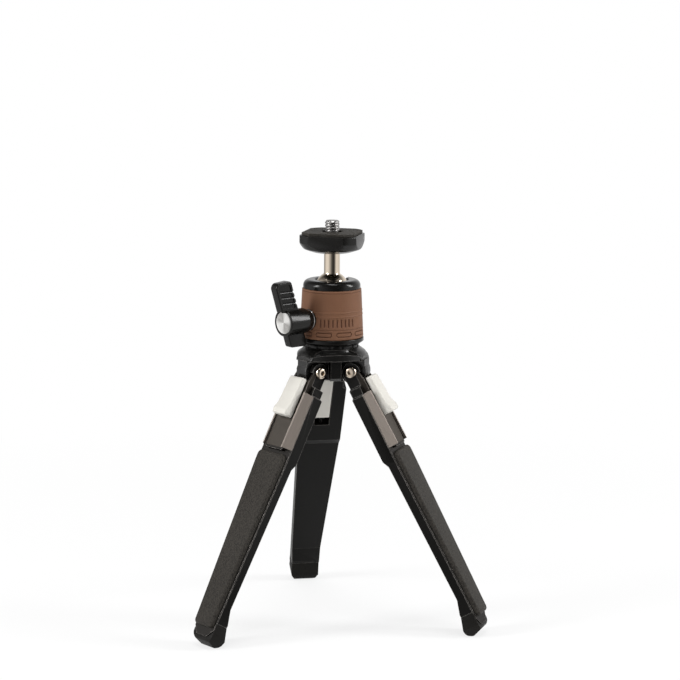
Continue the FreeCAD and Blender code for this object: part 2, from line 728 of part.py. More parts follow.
def makeLever():
    body = newBody("lock_lever")
    sketch = sketchOn(body, "XZ_Plane", "barrel_profile")
    polygon(sketch, [
        (BARREL_START, "0"),
        (BARREL_START, "dim.barrelInner"),
        (f"{BARREL_START} + dim.barrelTaper", "dim.barrelMiddle"),
        ("dim.barrelEnd", "dim.barrelOuter"),
        ("dim.barrelEnd", "dim.capRadius + dim.fitGap"),
        ("dim.barrelEnd - dim.capThick", "dim.capRadius + dim.fitGap"),
        ("dim.barrelEnd - dim.capThick", "0"),
    ])
    turnProfile("Revolution", body, sketch, "barrel", "H_Axis")
    bar = sketchOn(body, "XZ_Plane", "bar_outline")
    lean = "tan(dim.leverLean * 1deg)"
    half = "dim.barWide / 2"
    polygon(bar, [
        (f"dim.barMiddle + dim.wingRise * {lean} - {half}", "dim.wingRise"),
        (f"dim.barMiddle + (dim.wingRise - dim.wingSlant) * {lean} + {half}", "dim.wingRise - dim.wingSlant"),
        (f"dim.barMiddle - dim.stubDrop * {lean} + {half}", "-dim.stubDrop"),
        (f"dim.barMiddle - dim.stubDrop * {lean} - {half}", "-dim.stubDrop"),
    ])
    barPad = extrude("Pad", body, bar, "dim.barThick", "bar", both=True)
    doc.recompute()
    thick = number("barThick")
    outerCorner = number("barMiddle") + number("wingRise") * math.tan(math.radians(number("leverLean")))

    def barCorner(edge):
        box = edge.BoundBox
        return abs(box.YLength - thick) < 1e-4 and box.XLength < 1e-4 and box.ZLength < 1e-4

    def wingTip(edge):
        return barCorner(edge) and edge.BoundBox.ZMin > 0 and edge.BoundBox.XMin > outerCorner

    def otherCorner(edge):
        clear = abs(edge.BoundBox.ZMin) > number("barrelOuter")
        return barCorner(edge) and clear and (edge.BoundBox.ZMin < 0 or edge.BoundBox.XMin < outerCorner)

    tip = dress("Fillet", body, barPad, edgesOf(barPad, wingTip), "dim.wingRound", "wing_tip")
    doc.recompute()
    others = edgesOf(tip, otherCorner)
    dress("Fillet", body, tip, others, "dim.stubRound", "bar_corners")
    seat = sketchOn(body, "YZ_Plane", "cap_seat_outline", "dim.barrelEnd - dim.capThick")
    circle(seat, "0", "0", "dim.capRadius + dim.fitGap")
    extrude("Pocket", body, seat, "dim.barWide", "cap_seat", back=True)
    bore = sketchOn(body, "YZ_Plane", "lever_bore_outline", BARREL_START)
    circle(bore, "0", "0", "dim.clampRadius + dim.fitGap")
    extrude("Pocket", body, bore, "dim.screwDepth", "lever_bore", back=True)
    for i in range(3):
        level = f"dim.gripCutStart + dim.gripCutPitch * {i}"
        cut = sketchOn(body, "XZ_Plane", f"grip_cut_outline_{i}", "-dim.barThick / 2")
        middle = f"dim.barMiddle + ({level}) * {lean}"
        polygon(cut, [
            (f"{middle} - {half} + dim.gripCutInset", level),
            (f"{middle} + {half} - dim.gripCutInset", level),
            (f"{middle} + {half} - dim.gripCutInset", f"{level} + dim.gripCutWide"),
            (f"{middle} - {half} + dim.gripCutInset", f"{level} + dim.gripCutWide"),
        ])
        extrude("Pocket", body, cut, "dim.gripCut", f"grip_cut_{i}", back=True)
    placeOnLever(body)


def makeCap():
    body = newBody("lever_cap")
    sketch = sketchOn(body, "XZ_Plane", "cap_profile")
    low = "dim.barrelEnd - dim.capThick + dim.fitGap"
    polygon(sketch, [
        (low, "0"),
        (low, "dim.capRadius"),
        ("dim.barrelEnd - dim.capDome", "dim.capRadius"),
        ("dim.barrelEnd", "dim.capRadius - dim.capDome"),
        ("dim.barrelEnd", "0"),
    ])
    turnProfile("Revolution", body, sketch, "cap_turned", "H_Axis")
    placeOnLever(body)


def makeWasher():
    body = newBody("lever_washer")
    sketch = sketchOn(body, "YZ_Plane", "washer_outline", f"{BOSS_REACH} + dim.fitGap")
    circle(sketch, "0", "0", "dim.washerRadius")
    circle(sketch, "0", "0", "dim.clampRadius + dim.fitGap")
    extrude("Pad", body, sketch, "dim.washerThick", "washer_sheet")
    placeOnLever(body)


# Leg pieces, drawn hanging straight down from the hinge axis

def cutSteps(body, name, middleStep):
    """Narrow a leg piece to its ears at the hinge and taper it towards the foot."""
    wide = "dim.legHalf + 6"
    sketch = sketchOn(body, "YZ_Plane", f"{name}_steps_outline")
    run = [("dim.earHalf", "dim.knuckleRadius + 4")] + middleStep + [
        ("dim.legHalf", "-dim.legTop - dim.stepRamp"),
        ("dim.legHalf", "-dim.taperStart"),
        ("dim.heelHalf", f"-{CORE_END}"),
        ("dim.heelHalf", "-dim.legLength - 4"),
        (wide, "-dim.legLength - 4"),
        (wide, "dim.knuckleRadius + 4"),
    ]
    polygon(sketch, run)
    polygon(sketch, [(f"-({across})", along) for across, along in run])
    extrude("Pocket", body, sketch, "dim.legHalf * 6", f"{name}_steps", both=True)


def cutFork(body, name, end):
    sketch = sketchOn(body, "YZ_Plane", f"{name}_fork_outline")
    polygon(sketch, mirrored([("dim.forkHalf", "dim.knuckleRadius + 4"), ("dim.forkHalf", f"-{end}")]))
    extrude("Pocket", body, sketch, "dim.legHalf * 6", f"{name}_fork", both=True)


def makeCore(side, azimuth):
    body = newBody(f"leg_core_{side}")
    blade = sketchOn(body, "XZ_Plane", "blade_outline")
    polygon(blade, [
        ("-dim.innerFace", "0"),
        ("dim.bedFace", "0"),
        ("dim.bedFace", f"-{CORE_END}"),
        ("-dim.flareDeep", f"-{CORE_END}"),
        ("-dim.flareDeep", f"-{FLARE_END}"),
        ("-dim.thinInner", f"-{FLARE_END} + dim.flareRamp"),
        ("-dim.thinInner", "-dim.innerStep - dim.innerRamp"),
        ("-dim.innerFace", "-dim.innerStep"),
    ])
    extrude("Pad", body, blade, "dim.legHalf * 2", "blade", both=True)
    knuckle = sketchOn(body, "XZ_Plane", "knuckle_outline")
    circle(knuckle, "0", "0", "dim.knuckleRadius")
    extrude("Pad", body, knuckle, "dim.earHalf * 2", "knuckle", both=True)
    bed = sketchOn(body, "XZ_Plane", "bed_outline")
    polygon(bed, [
        ("dim.bedFace", "-dim.shellTop + dim.fitGap"),
        ("dim.knuckleRadius + 2", "-dim.shellTop + dim.fitGap"),
        ("dim.knuckleRadius + 2", "-dim.knuckleRadius - 2"),
        ("dim.bedFace", "-dim.knuckleRadius - 2"),
    ])
    extrude("Pocket", body, bed, "dim.legHalf * 4", "bed", both=True)
    cutSteps(body, "core", [
        ("dim.earHalf", "-dim.stepTop"),
        ("dim.stepHalf", "-dim.stepTop - dim.stepRamp"),
        ("dim.stepHalf", "-dim.legTop"),
    ])
    cutFork(body, "core", "dim.forkEnd")
    bore = sketchOn(body, "XZ_Plane", "core_bore_outline")
    circle(bore, "0", "0", "dim.pinRadius + dim.fitGap")
    extrude("Pocket", body, bore, "dim.legHalf * 4", "core_bore", both=True)
    rod = sketchOn(body, "XY_Plane", "rod_outline", "-dim.forkEnd - 1")
    polygon(rod, evenSided(6, "dim.rodRadius", "-dim.rodOut"))
    extrude("Pad", body, rod, "dim.rodLong + 1", "spring_rod")
    placeOnLeg(body, azimuth)


def makeShell(side, azimuth):
    body = newBody(f"leg_shell_{side}")
    section = sketchOn(body, "XY_Plane", "shell_section", "-dim.shellEnd")
    half = [
        ("dim.bedFace", "dim.legHalf"),
        ("dim.bedFace + dim.trayThick", "dim.legHalf"),
        ("dim.plateauFace", "dim.plateauHalf"),
        ("dim.plateauFace", "dim.trackHalf"),
        ("dim.trackFace", "dim.trackHalf"),
    ]
    polygon(section, half + [(across, f"-({along})") for across, along in reversed(half)])
    extrude("Pad", body, section, "dim.shellEnd - dim.shellTop", "shell_upper")
    tongue = sketchOn(body, "YZ_Plane", "tongue_outline", "dim.bedFace")
    polygon(tongue, mirrored([
        ("dim.trackHalf", "-dim.shellEnd + 1"),
        ("dim.trackHalf", "-dim.trackEnd + dim.trackRound * 0.3"),
        ("dim.trackHalf - dim.trackRound * 0.3", "-dim.trackEnd"),
    ]))
    extrude("Pad", body, tongue, "dim.trackFace - dim.bedFace", "track_tongue")
    tray = sketchOn(body, "YZ_Plane", "tray_outline", "dim.bedFace")
    polygon(tray, mirrored([
        ("dim.legHalf", "-dim.shellEnd + 1"),
        ("dim.legHalf", "-dim.taperStart"),
        ("dim.heelHalf", f"-{CORE_END}"),
        ("dim.heelHalf", f"-{GRIP_END} - dim.gripInset"),
        ("dim.trayTip", f"-{TRAY_END}"),
    ]))
    extrude("Pad", body, tray, "dim.trayThick", "tray")
    slope = sketchOn(body, "XZ_Plane", "slope_outline")
    polygon(slope, [
        ("dim.slopeStart", "-dim.shellTop + 0.1"),
        ("dim.slopeKneeFace", "-dim.slopeKnee"),
        ("dim.plateauFace + 0.01", "-dim.shellEnd"),
        ("dim.plateauFace + 3", "-dim.shellEnd"),
        ("dim.plateauFace + 3", "-dim.shellTop + 0.1"),
    ])
    extrude("Pocket", body, slope, "dim.legHalf * 4", "slope", both=True)
    cutSteps(body, "shell", [("dim.earHalf", "-dim.legTop")])
    cutFork(body, "shell", "dim.shellForkEnd")
    clear = sketchOn(body, "XZ_Plane", "latch_clear_outline")
    circle(clear, "0", "0", "dim.latchClear")
    extrude("Pocket", body, clear, "dim.sliverHalf * 2", "latch_clear", both=True)
    placeOnLeg(body, azimuth)


def makeGrip(side, azimuth):
    body = newBody(f"grip_pad_{side}")
    sketch = sketchOn(body, "YZ_Plane", "grip_outline", "dim.bedFace + dim.trayThick")
    polygon(sketch, mirrored([
        ("dim.legHalf - dim.gripInset - dim.gripCorner", "-dim.gripStart"),
        ("dim.legHalf - dim.gripInset", "-dim.gripStart - dim.gripCorner"),
        ("dim.legHalf - dim.gripInset", "-dim.taperStart"),
        ("dim.heelHalf - dim.gripInset", f"-{CORE_END}"),
        ("dim.heelHalf - dim.gripInset", f"-{GRIP_END} + dim.gripCorner"),
        ("dim.heelHalf - dim.gripInset - dim.gripCorner", f"-{GRIP_END}"),
    ]))
    sheetPad = extrude("Pad", body, sketch, "dim.gripThick", "grip_sheet")
    doc.recompute()
    face = number("bedFace") + number("trayThick") + number("gripThick")
    rim = edgesOf(sheetPad, lambda edge: abs(edge.BoundBox.XMin - face) < 1e-4)
    dress("Chamfer", body, sheetPad, rim, "dim.gripEdge", "grip_edge")
    placeOnLeg(body, azimuth)


def makeFoot(side, azimuth):
    body = newBody(f"foot_{side}")
    sketch = sketchOn(body, "XZ_Plane", "foot_outline")
    top = f"-{CORE_END} - dim.fitGap"
    polygon(sketch, [
        ("dim.bedFace", top),
        ("dim.bedFace", f"-{TRAY_END} - 0.6"),
        ("dim.toeFace", "-dim.legLength + dim.toeShort"),
        (f"-dim.footOffset + dim.soleHalf * cos({TILT})", f"-dim.legLength - dim.soleHalf * sin({TILT})"),
        (f"-dim.footOffset - dim.soleHalf * cos({TILT})", f"-dim.legLength + dim.soleHalf * sin({TILT})"),
        ("-dim.heelFace", "-dim.legLength + dim.heelShort"),
        ("-dim.flareDeep", top),
    ])
    extrude("Pad", body, sketch, "dim.heelHalf * 2", "foot_block", both=True)
    corner = sketchOn(body, "YZ_Plane", "foot_corner_outline")
    run = [
        ("dim.heelHalf", "-dim.legLength + dim.soleChamferHigh"),
        ("dim.soleWide", "-dim.legLength - dim.soleHalf"),
        ("dim.heelHalf + 2", "-dim.legLength - dim.soleHalf"),
    ]
    polygon(corner, run)
    polygon(corner, [(f"-({across})", along) for across, along in run])
    extrude("Pocket", body, corner, "dim.legHalf * 6", "foot_corners", both=True)
    placeOnLeg(body, azimuth)


def makeLatch(side, azimuth):
    body = newBody(f"latch_{side}")
    button = sketchOn(body, "XZ_Plane", "button_outline")
    floor = "dim.trackFace + dim.runGap"
    polygon(button, [
        (floor, "-dim.latchTop"),
        ("dim.latchTopFace", "-dim.latchTop"),
        ("dim.latchRampFace", "-dim.latchRampEnd"),
        ("dim.latchLipFace", "-dim.latchEnd + dim.latchLipWide"),
        ("dim.latchLipFace", "-dim.latchEnd + dim.latchRound"),
        ("dim.latchLipFace - dim.latchRound", "-dim.latchEnd"),
        (floor, "-dim.latchEnd"),
    ])
    block = extrude("Pad", body, button, "dim.latchHalf * 2", "button", both=True)
    doc.recompute()
    topFace = number("latchTopFace")

    def longEdge(edge):
        box = edge.BoundBox
        side = min(abs(box.YMin - number("latchHalf")), abs(box.YMax + number("latchHalf")))
        return side < 1e-4 and box.YLength < 1e-4 and box.XMax > topFace - 1e-4 and box.ZLength > 1

    sides = dress("Chamfer", body, block, edgesOf(block, longEdge), "dim.latchRound", "button_sides")
    web = sketchOn(body, "XZ_Plane", "web_outline")
    polygon(web, [
        ("-dim.innerFace", "-dim.webTop"),
        (f"{floor} + 0.5", "-dim.webTop"),
        (f"{floor} + 0.5", "-dim.webStep"),
        ("dim.bedFace - dim.slotGap", "-dim.webStep"),
        ("dim.bedFace - dim.slotGap", "-dim.webEnd"),
        ("-dim.innerFace", "-dim.webEnd"),
    ])
    extrude("Pad", body, web, "dim.webHalf * 2", "web", both=True)
    bore = sketchOn(body, "XY_Plane", "spring_bore_outline", "-dim.webEnd")
    circle(bore, "-dim.rodOut", "0", "dim.springBore")
    extrude("Pocket", body, bore, "dim.webEnd - dim.springTop + dim.runGap", "spring_bore", back=True)
    placeOnLeg(body, azimuth)


def makeSpring(side, azimuth):
    body = newBody(f"latch_spring_{side}")
    low = "-dim.forkEnd + dim.rodLong + dim.runGap"
    sketch = sketchOn(body, "XY_Plane", "spring_outline", low)
    polygon(sketch, evenSided(8, "dim.springOuter", "-dim.rodOut"))
    polygon(sketch, evenSided(8, "dim.springInner", "-dim.rodOut"))
    extrude("Pad", body, sketch, f"-dim.springTop - ({low})", "spring_tube")
    placeOnLeg(body, azimuth)


def makeHingePin(side, azimuth):
    """Pin through the lug and the fork's ears, with a screw's head against each ear."""
    body = newBody(f"hinge_pin_{side}")
    face = "(dim.earHalf + dim.fitGap)"
    shank = sketchOn(body, "XZ_Plane", "shank_outline")
    circle(shank, "0", "0", "dim.pinRadius")
    extrude("Pad", body, shank, f"{face} * 2", "shank", both=True)
    for end, start in (("front", face), ("rear", f"-{face} - dim.pinHeadHigh")):
        head = sketchOn(body, "XZ_Plane", f"{end}_head_outline", start)
        polygon(head, evenSided(12, "dim.pinHeadRadius"))
        extrude("Pad", body, head, "dim.pinHeadHigh", f"{end}_head")
    placeOnLeg(body, azimuth)


makePlate()
makePlatePad()
makeCameraScrew()
makeBall()
makeCollar()
makeHousing()
makeSleeve()
makeCup()
makeBaseRing()
makeLockRing()
makeStud()
makeCrown()
makeThrustPin()
makeClampScrew()
makeLever()
makeCap()
makeWasher()
for side, azimuth in LEG_AZIMUTHS.items():
    makeCore(side, azimuth)
    makeShell(side, azimuth)
    makeGrip(side, azimuth)
    makeFoot(side, azimuth)
    makeLatch(side, azimuth)
    makeSpring(side, azimuth)
    makeHingePin(side, azimuth)
doc.recompute()

for item in doc.Objects:
    if "Invalid" in item.State or "Error" in item.State:
        raise RuntimeError(f"{item.Label} failed to build: {item.State}")

os.makedirs("parts", exist_ok=True)
for piece in pieces:
    shape = piece.Shape
    if shape.isNull() or not shape.isValid() or shape.Volume <= 0:
        raise RuntimeError(f"{piece.Label} has no valid solid")
    shape.exportStep(f"parts/{piece.Label}.step")
    box = shape.BoundBox
    print(f"{piece.Label}: {len(shape.Solids)} solid, {shape.Volume:.1f} mm3, "
          f"z {box.ZMin:.2f} to {box.ZMax:.2f}")
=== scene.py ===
import json
import math

import bpy
from mathutils import Matrix, Vector


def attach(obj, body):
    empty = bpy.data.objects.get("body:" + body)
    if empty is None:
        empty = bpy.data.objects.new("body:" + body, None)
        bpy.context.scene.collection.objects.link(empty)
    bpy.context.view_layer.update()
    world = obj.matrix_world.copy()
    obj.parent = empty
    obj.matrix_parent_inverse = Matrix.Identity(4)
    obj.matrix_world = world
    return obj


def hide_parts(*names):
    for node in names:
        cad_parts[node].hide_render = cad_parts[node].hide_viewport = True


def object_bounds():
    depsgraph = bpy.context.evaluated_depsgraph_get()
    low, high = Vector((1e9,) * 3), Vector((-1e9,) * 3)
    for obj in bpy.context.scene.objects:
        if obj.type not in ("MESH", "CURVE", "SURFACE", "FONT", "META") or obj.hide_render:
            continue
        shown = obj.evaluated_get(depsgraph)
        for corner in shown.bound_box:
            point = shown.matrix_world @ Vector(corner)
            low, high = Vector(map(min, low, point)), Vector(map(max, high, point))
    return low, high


# Mini tripod with a ball head, +Z up. The scene is in metres, the pieces' own sizes in mm.
# The origin is the middle of the camera seat, and +Y points towards the back leg.

mm = 0.001
weldGap = 0.000002
hair = 0.00001  # less than any drawn step
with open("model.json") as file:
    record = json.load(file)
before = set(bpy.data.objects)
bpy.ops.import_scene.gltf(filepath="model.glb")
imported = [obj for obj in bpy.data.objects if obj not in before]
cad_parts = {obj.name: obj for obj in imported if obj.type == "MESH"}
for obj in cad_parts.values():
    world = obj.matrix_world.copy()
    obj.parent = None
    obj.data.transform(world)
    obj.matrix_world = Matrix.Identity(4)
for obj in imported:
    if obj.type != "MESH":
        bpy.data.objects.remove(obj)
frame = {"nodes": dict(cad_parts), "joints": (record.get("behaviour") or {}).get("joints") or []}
nodes = frame["nodes"]
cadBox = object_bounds()
print("frame loaded:", len(nodes), "nodes")

joints = {joint["name"]: joint for joint in frame["joints"]}
legAzimuths = {"back": 90, "left": 210, "right": 330}
leverAzimuth = 210
notchAzimuth = 60
floorZ = cadBox[0].z
hingeZ = joints["leg_back_spread"]["pos_m"][2]
hingeRadius = joints["leg_back_spread"]["pos_m"][1]
legTilt = math.acos(-joints["latch_back_slide"]["axis"][2])
leverZ = joints["lever_turn"]["pos_m"][2]
notchMatrix = Matrix.Rotation(math.radians(notchAzimuth), 4, "Z")
leverMatrix = Matrix.Rotation(math.radians(leverAzimuth), 4, "Z")
leverMatrix = Matrix.Translation((0, 0, leverZ)) @ leverMatrix


def legMatrix(side):  # a leg's own axes are X outward, Y across and Z up the leg, from its hinge
    azimuth = math.radians(legAzimuths[side])
    hinge = Vector((hingeRadius * math.cos(azimuth), hingeRadius * math.sin(azimuth), hingeZ))
    turn = Matrix.Rotation(azimuth, 4, "Z") @ Matrix.Rotation(-legTilt, 4, "Y")
    return Matrix.Translation(hinge) @ turn


# Node groups shared by the materials, with lengths in metres

def newGroup(name, inputs, outputs):
    group = bpy.data.node_groups.new(name, "ShaderNodeTree")
    for socketName, kind, value in inputs:
        socket = group.interface.new_socket(socketName, in_out="INPUT", socket_type=kind)
        if value is not None:
            socket.default_value = value
    for socketName, kind in outputs:
        group.interface.new_socket(socketName, in_out="OUTPUT", socket_type=kind)
    source = group.nodes.new("NodeGroupInput")
    sink = group.nodes.new("NodeGroupOutput")
    return group, source, sink


def setInputs(tree, node, inputs):  # a socket is linked, and any other value is set
    for key, value in inputs.items():
        if isinstance(value, bpy.types.NodeSocket):
            tree.links.new(value, node.inputs[key])
        else:
            node.inputs[key].default_value = value


def addNode(tree, kind, inputs=None, **settings):
    node = tree.nodes.new(kind)
    for key, value in settings.items():
        setattr(node, key, value)
    setInputs(tree, node, inputs or {})
    return node


def objectPlace(tree):
    return addNode(tree, "ShaderNodeTexCoord").outputs["Object"]


def noise(tree, vector, scale, detail):
    node = addNode(tree, "ShaderNodeTexNoise", {
        "Vector": vector, "Scale": scale, "Detail": detail})
    return node.outputs["Fac"]


def multiply(tree, first, second):
    node = addNode(tree, "ShaderNodeMath", {0: first, 1: second}, operation="MULTIPLY")
    return node.outputs[0]


def remap(tree, value, span, result=(0.0, 1.0), **settings):  # the span turns into the result
    node = addNode(tree, "ShaderNodeMapRange", {
        "Value": value, "From Min": span[0], "From Max": span[1],
        "To Min": result[0], "To Max": result[1]}, **settings)
    return node.outputs["Result"]


def makeGrainGroup():  # moulded or cast grain, and broad blotches for small changes
    group, source, sink = newGroup("surfaceGrain", [
        ("Size", "NodeSocketFloat", 2000.0), ("Depth", "NodeSocketFloat", 0.1),
        ("Blotch", "NodeSocketFloat", 60.0), ("Height", "NodeSocketFloat", 0.0002),
    ], [
        ("Normal", "NodeSocketVector"), ("Grain", "NodeSocketFloat"),
        ("Blotches", "NodeSocketFloat"),
    ])
    place = objectPlace(group)
    fine = noise(group, place, source.outputs["Size"], detail=3.0)
    broad = noise(group, place, source.outputs["Blotch"], detail=4.0)
    bump = addNode(group, "ShaderNodeBump", {
        "Height": fine, "Strength": source.outputs["Depth"],
        "Distance": source.outputs["Height"]})
    setInputs(group, sink, {"Normal": bump.outputs["Normal"], "Grain": fine, "Blotches": broad})
    return group


edgeWearAndHighlight = {
    "bend": (0.995, 0.90),  # cosine from the rounded normal to the true one, flat then edge
    "outer": (0.49, 0.51),  # pointiness, so that hollow edges stay plain
    "broken": (0.25, 0.55), "least": 0.5,
}


def makeEdgeGroup():  # white on outer edges for real wear and a painted highlight, broken up by noise
    group, source, sink = newGroup("edgeWearAndHighlight", [
        ("Width", "NodeSocketFloat", 0.0003), ("Breakup", "NodeSocketFloat", 900.0),
    ], [("Mask", "NodeSocketFloat")])
    geometry = addNode(group, "ShaderNodeNewGeometry")
    soft = addNode(group, "ShaderNodeBevel", {"Radius": source.outputs["Width"]}, samples=4)
    match = addNode(group, "ShaderNodeVectorMath", {
        0: soft.outputs["Normal"], 1: geometry.outputs["Normal"]}, operation="DOT_PRODUCT")
    near = remap(group, match.outputs["Value"], edgeWearAndHighlight["bend"])
    outer = remap(group, geometry.outputs["Pointiness"], edgeWearAndHighlight["outer"])
    spots = noise(group, objectPlace(group), source.outputs["Breakup"], detail=2.0)
    broken = remap(group, spots, edgeWearAndHighlight["broken"], (edgeWearAndHighlight["least"], 1.0))
    setInputs(group, sink, {"Mask": multiply(group, multiply(group, near, outer), broken)})
    return group


brushMarks = {"stretch": (1.0, 1.0, 0.012), "height": 0.0001}


def makeBrushGroup():  # straight brush marks down a leg
    group, source, sink = newGroup("brushMarks", [
        ("Vector", "NodeSocketVector", None), ("Across", "NodeSocketFloat", 9000.0),
        ("Depth", "NodeSocketFloat", 0.15),
    ], [("Normal", "NodeSocketVector"), ("Streaks", "NodeSocketFloat")])
    stretch = addNode(group, "ShaderNodeVectorMath", {
        0: source.outputs["Vector"], 1: brushMarks["stretch"]}, operation="MULTIPLY")
    streaks = noise(group, stretch.outputs["Vector"], source.outputs["Across"], detail=2.0)
    bump = addNode(group, "ShaderNodeBump", {
        "Height": streaks, "Strength": source.outputs["Depth"],
        "Distance": brushMarks["height"]})
    setInputs(group, sink, {"Normal": bump.outputs["Normal"], "Streaks": streaks})
    return group


grainGroup = makeGrainGroup()
edgeGroup = makeEdgeGroup()
brushGroup = makeBrushGroup()


# Materials

def newMaterial(name):
    material = bpy.data.materials.new(name)
    material.use_nodes = True
    return material, material.node_tree, material.node_tree.nodes["Principled BSDF"]


def mixColor(tree, factor, first, second):  # inputs 6, 7 and output 2 are a Mix node's colours
    mix = addNode(tree, "ShaderNodeMix", {0: factor, 6: first, 7: second}, data_type="RGBA")
    return mix.outputs[2]


def grainMaterial(look):  # two close colours, grain, and lighter edges that show wear and a painted highlight
    material, tree, shader = newMaterial(look["name"])
    grain = addNode(tree, "ShaderNodeGroup", {
        "Size": look["grainSize"], "Depth": look["grainDepth"], "Blotch": look["blotchSize"],
        "Height": look.get("grainHeight", 0.2) * mm}, node_tree=grainGroup)
    edge = addNode(tree, "ShaderNodeGroup", node_tree=edgeGroup)
    blotches = grain.outputs["Blotches"]
    color = mixColor(tree, blotches, look["dark"], look["light"])
    if look.get("speckle"):  # painted shade: dark pits between the grains, where the grain's bump is low
        pits = remap(tree, grain.outputs["Grain"], look["pitSpan"], (0.0, look["speckle"]))
        color = mixColor(tree, pits, color, look["pitShade"])
    if look.get("grooveShade"):  # painted shade: the moulded pattern is darker where it is deep
        deep = addNode(tree, "ShaderNodeAttribute", attribute_name="grooveShade")
        color = mixColor(tree, deep.outputs["Fac"], color, look["grooveShade"])
    if look.get("spun"):  # painted reflection: two bright and two dim quarters, as turned rings reflect light
        around = addNode(tree, "ShaderNodeUVMap", uv_map="round")
        apart = addNode(tree, "ShaderNodeSeparateXYZ", {0: around.outputs["UV"]})
        turn = multiply(tree, apart.outputs["X"], 2 * math.tau)
        wave = addNode(tree, "ShaderNodeMath", {0: turn}, operation="SINE")
        bright = remap(tree, wave.outputs[0], look["reflectionQuarters"], interpolation_type="SMOOTHSTEP")
        color = mixColor(tree, bright, look["dim"], color)
        tangent = addNode(tree, "ShaderNodeTangent", direction_type="UV_MAP", uv_map="round")
        setInputs(tree, shader, {"Tangent": tangent.outputs["Tangent"]})
    # painted highlight on the edges, together with real wear, from the edge mask
    wearAndHighlight = multiply(tree, edge.outputs["Mask"], look["wearAndHighlight"])
    setInputs(tree, shader, {
        "Base Color": mixColor(tree, wearAndHighlight, color, look["wornAndHighlight"]),
        "Normal": grain.outputs["Normal"],
        "Roughness": remap(tree, blotches, (0.0, 1.0), look["rough"]),
        "Metallic": look.get("metallic", 0.0),
        "Specular IOR Level": look.get("specular", 0.5),
        "Anisotropic": look.get("spun", 0.0)})
    return material


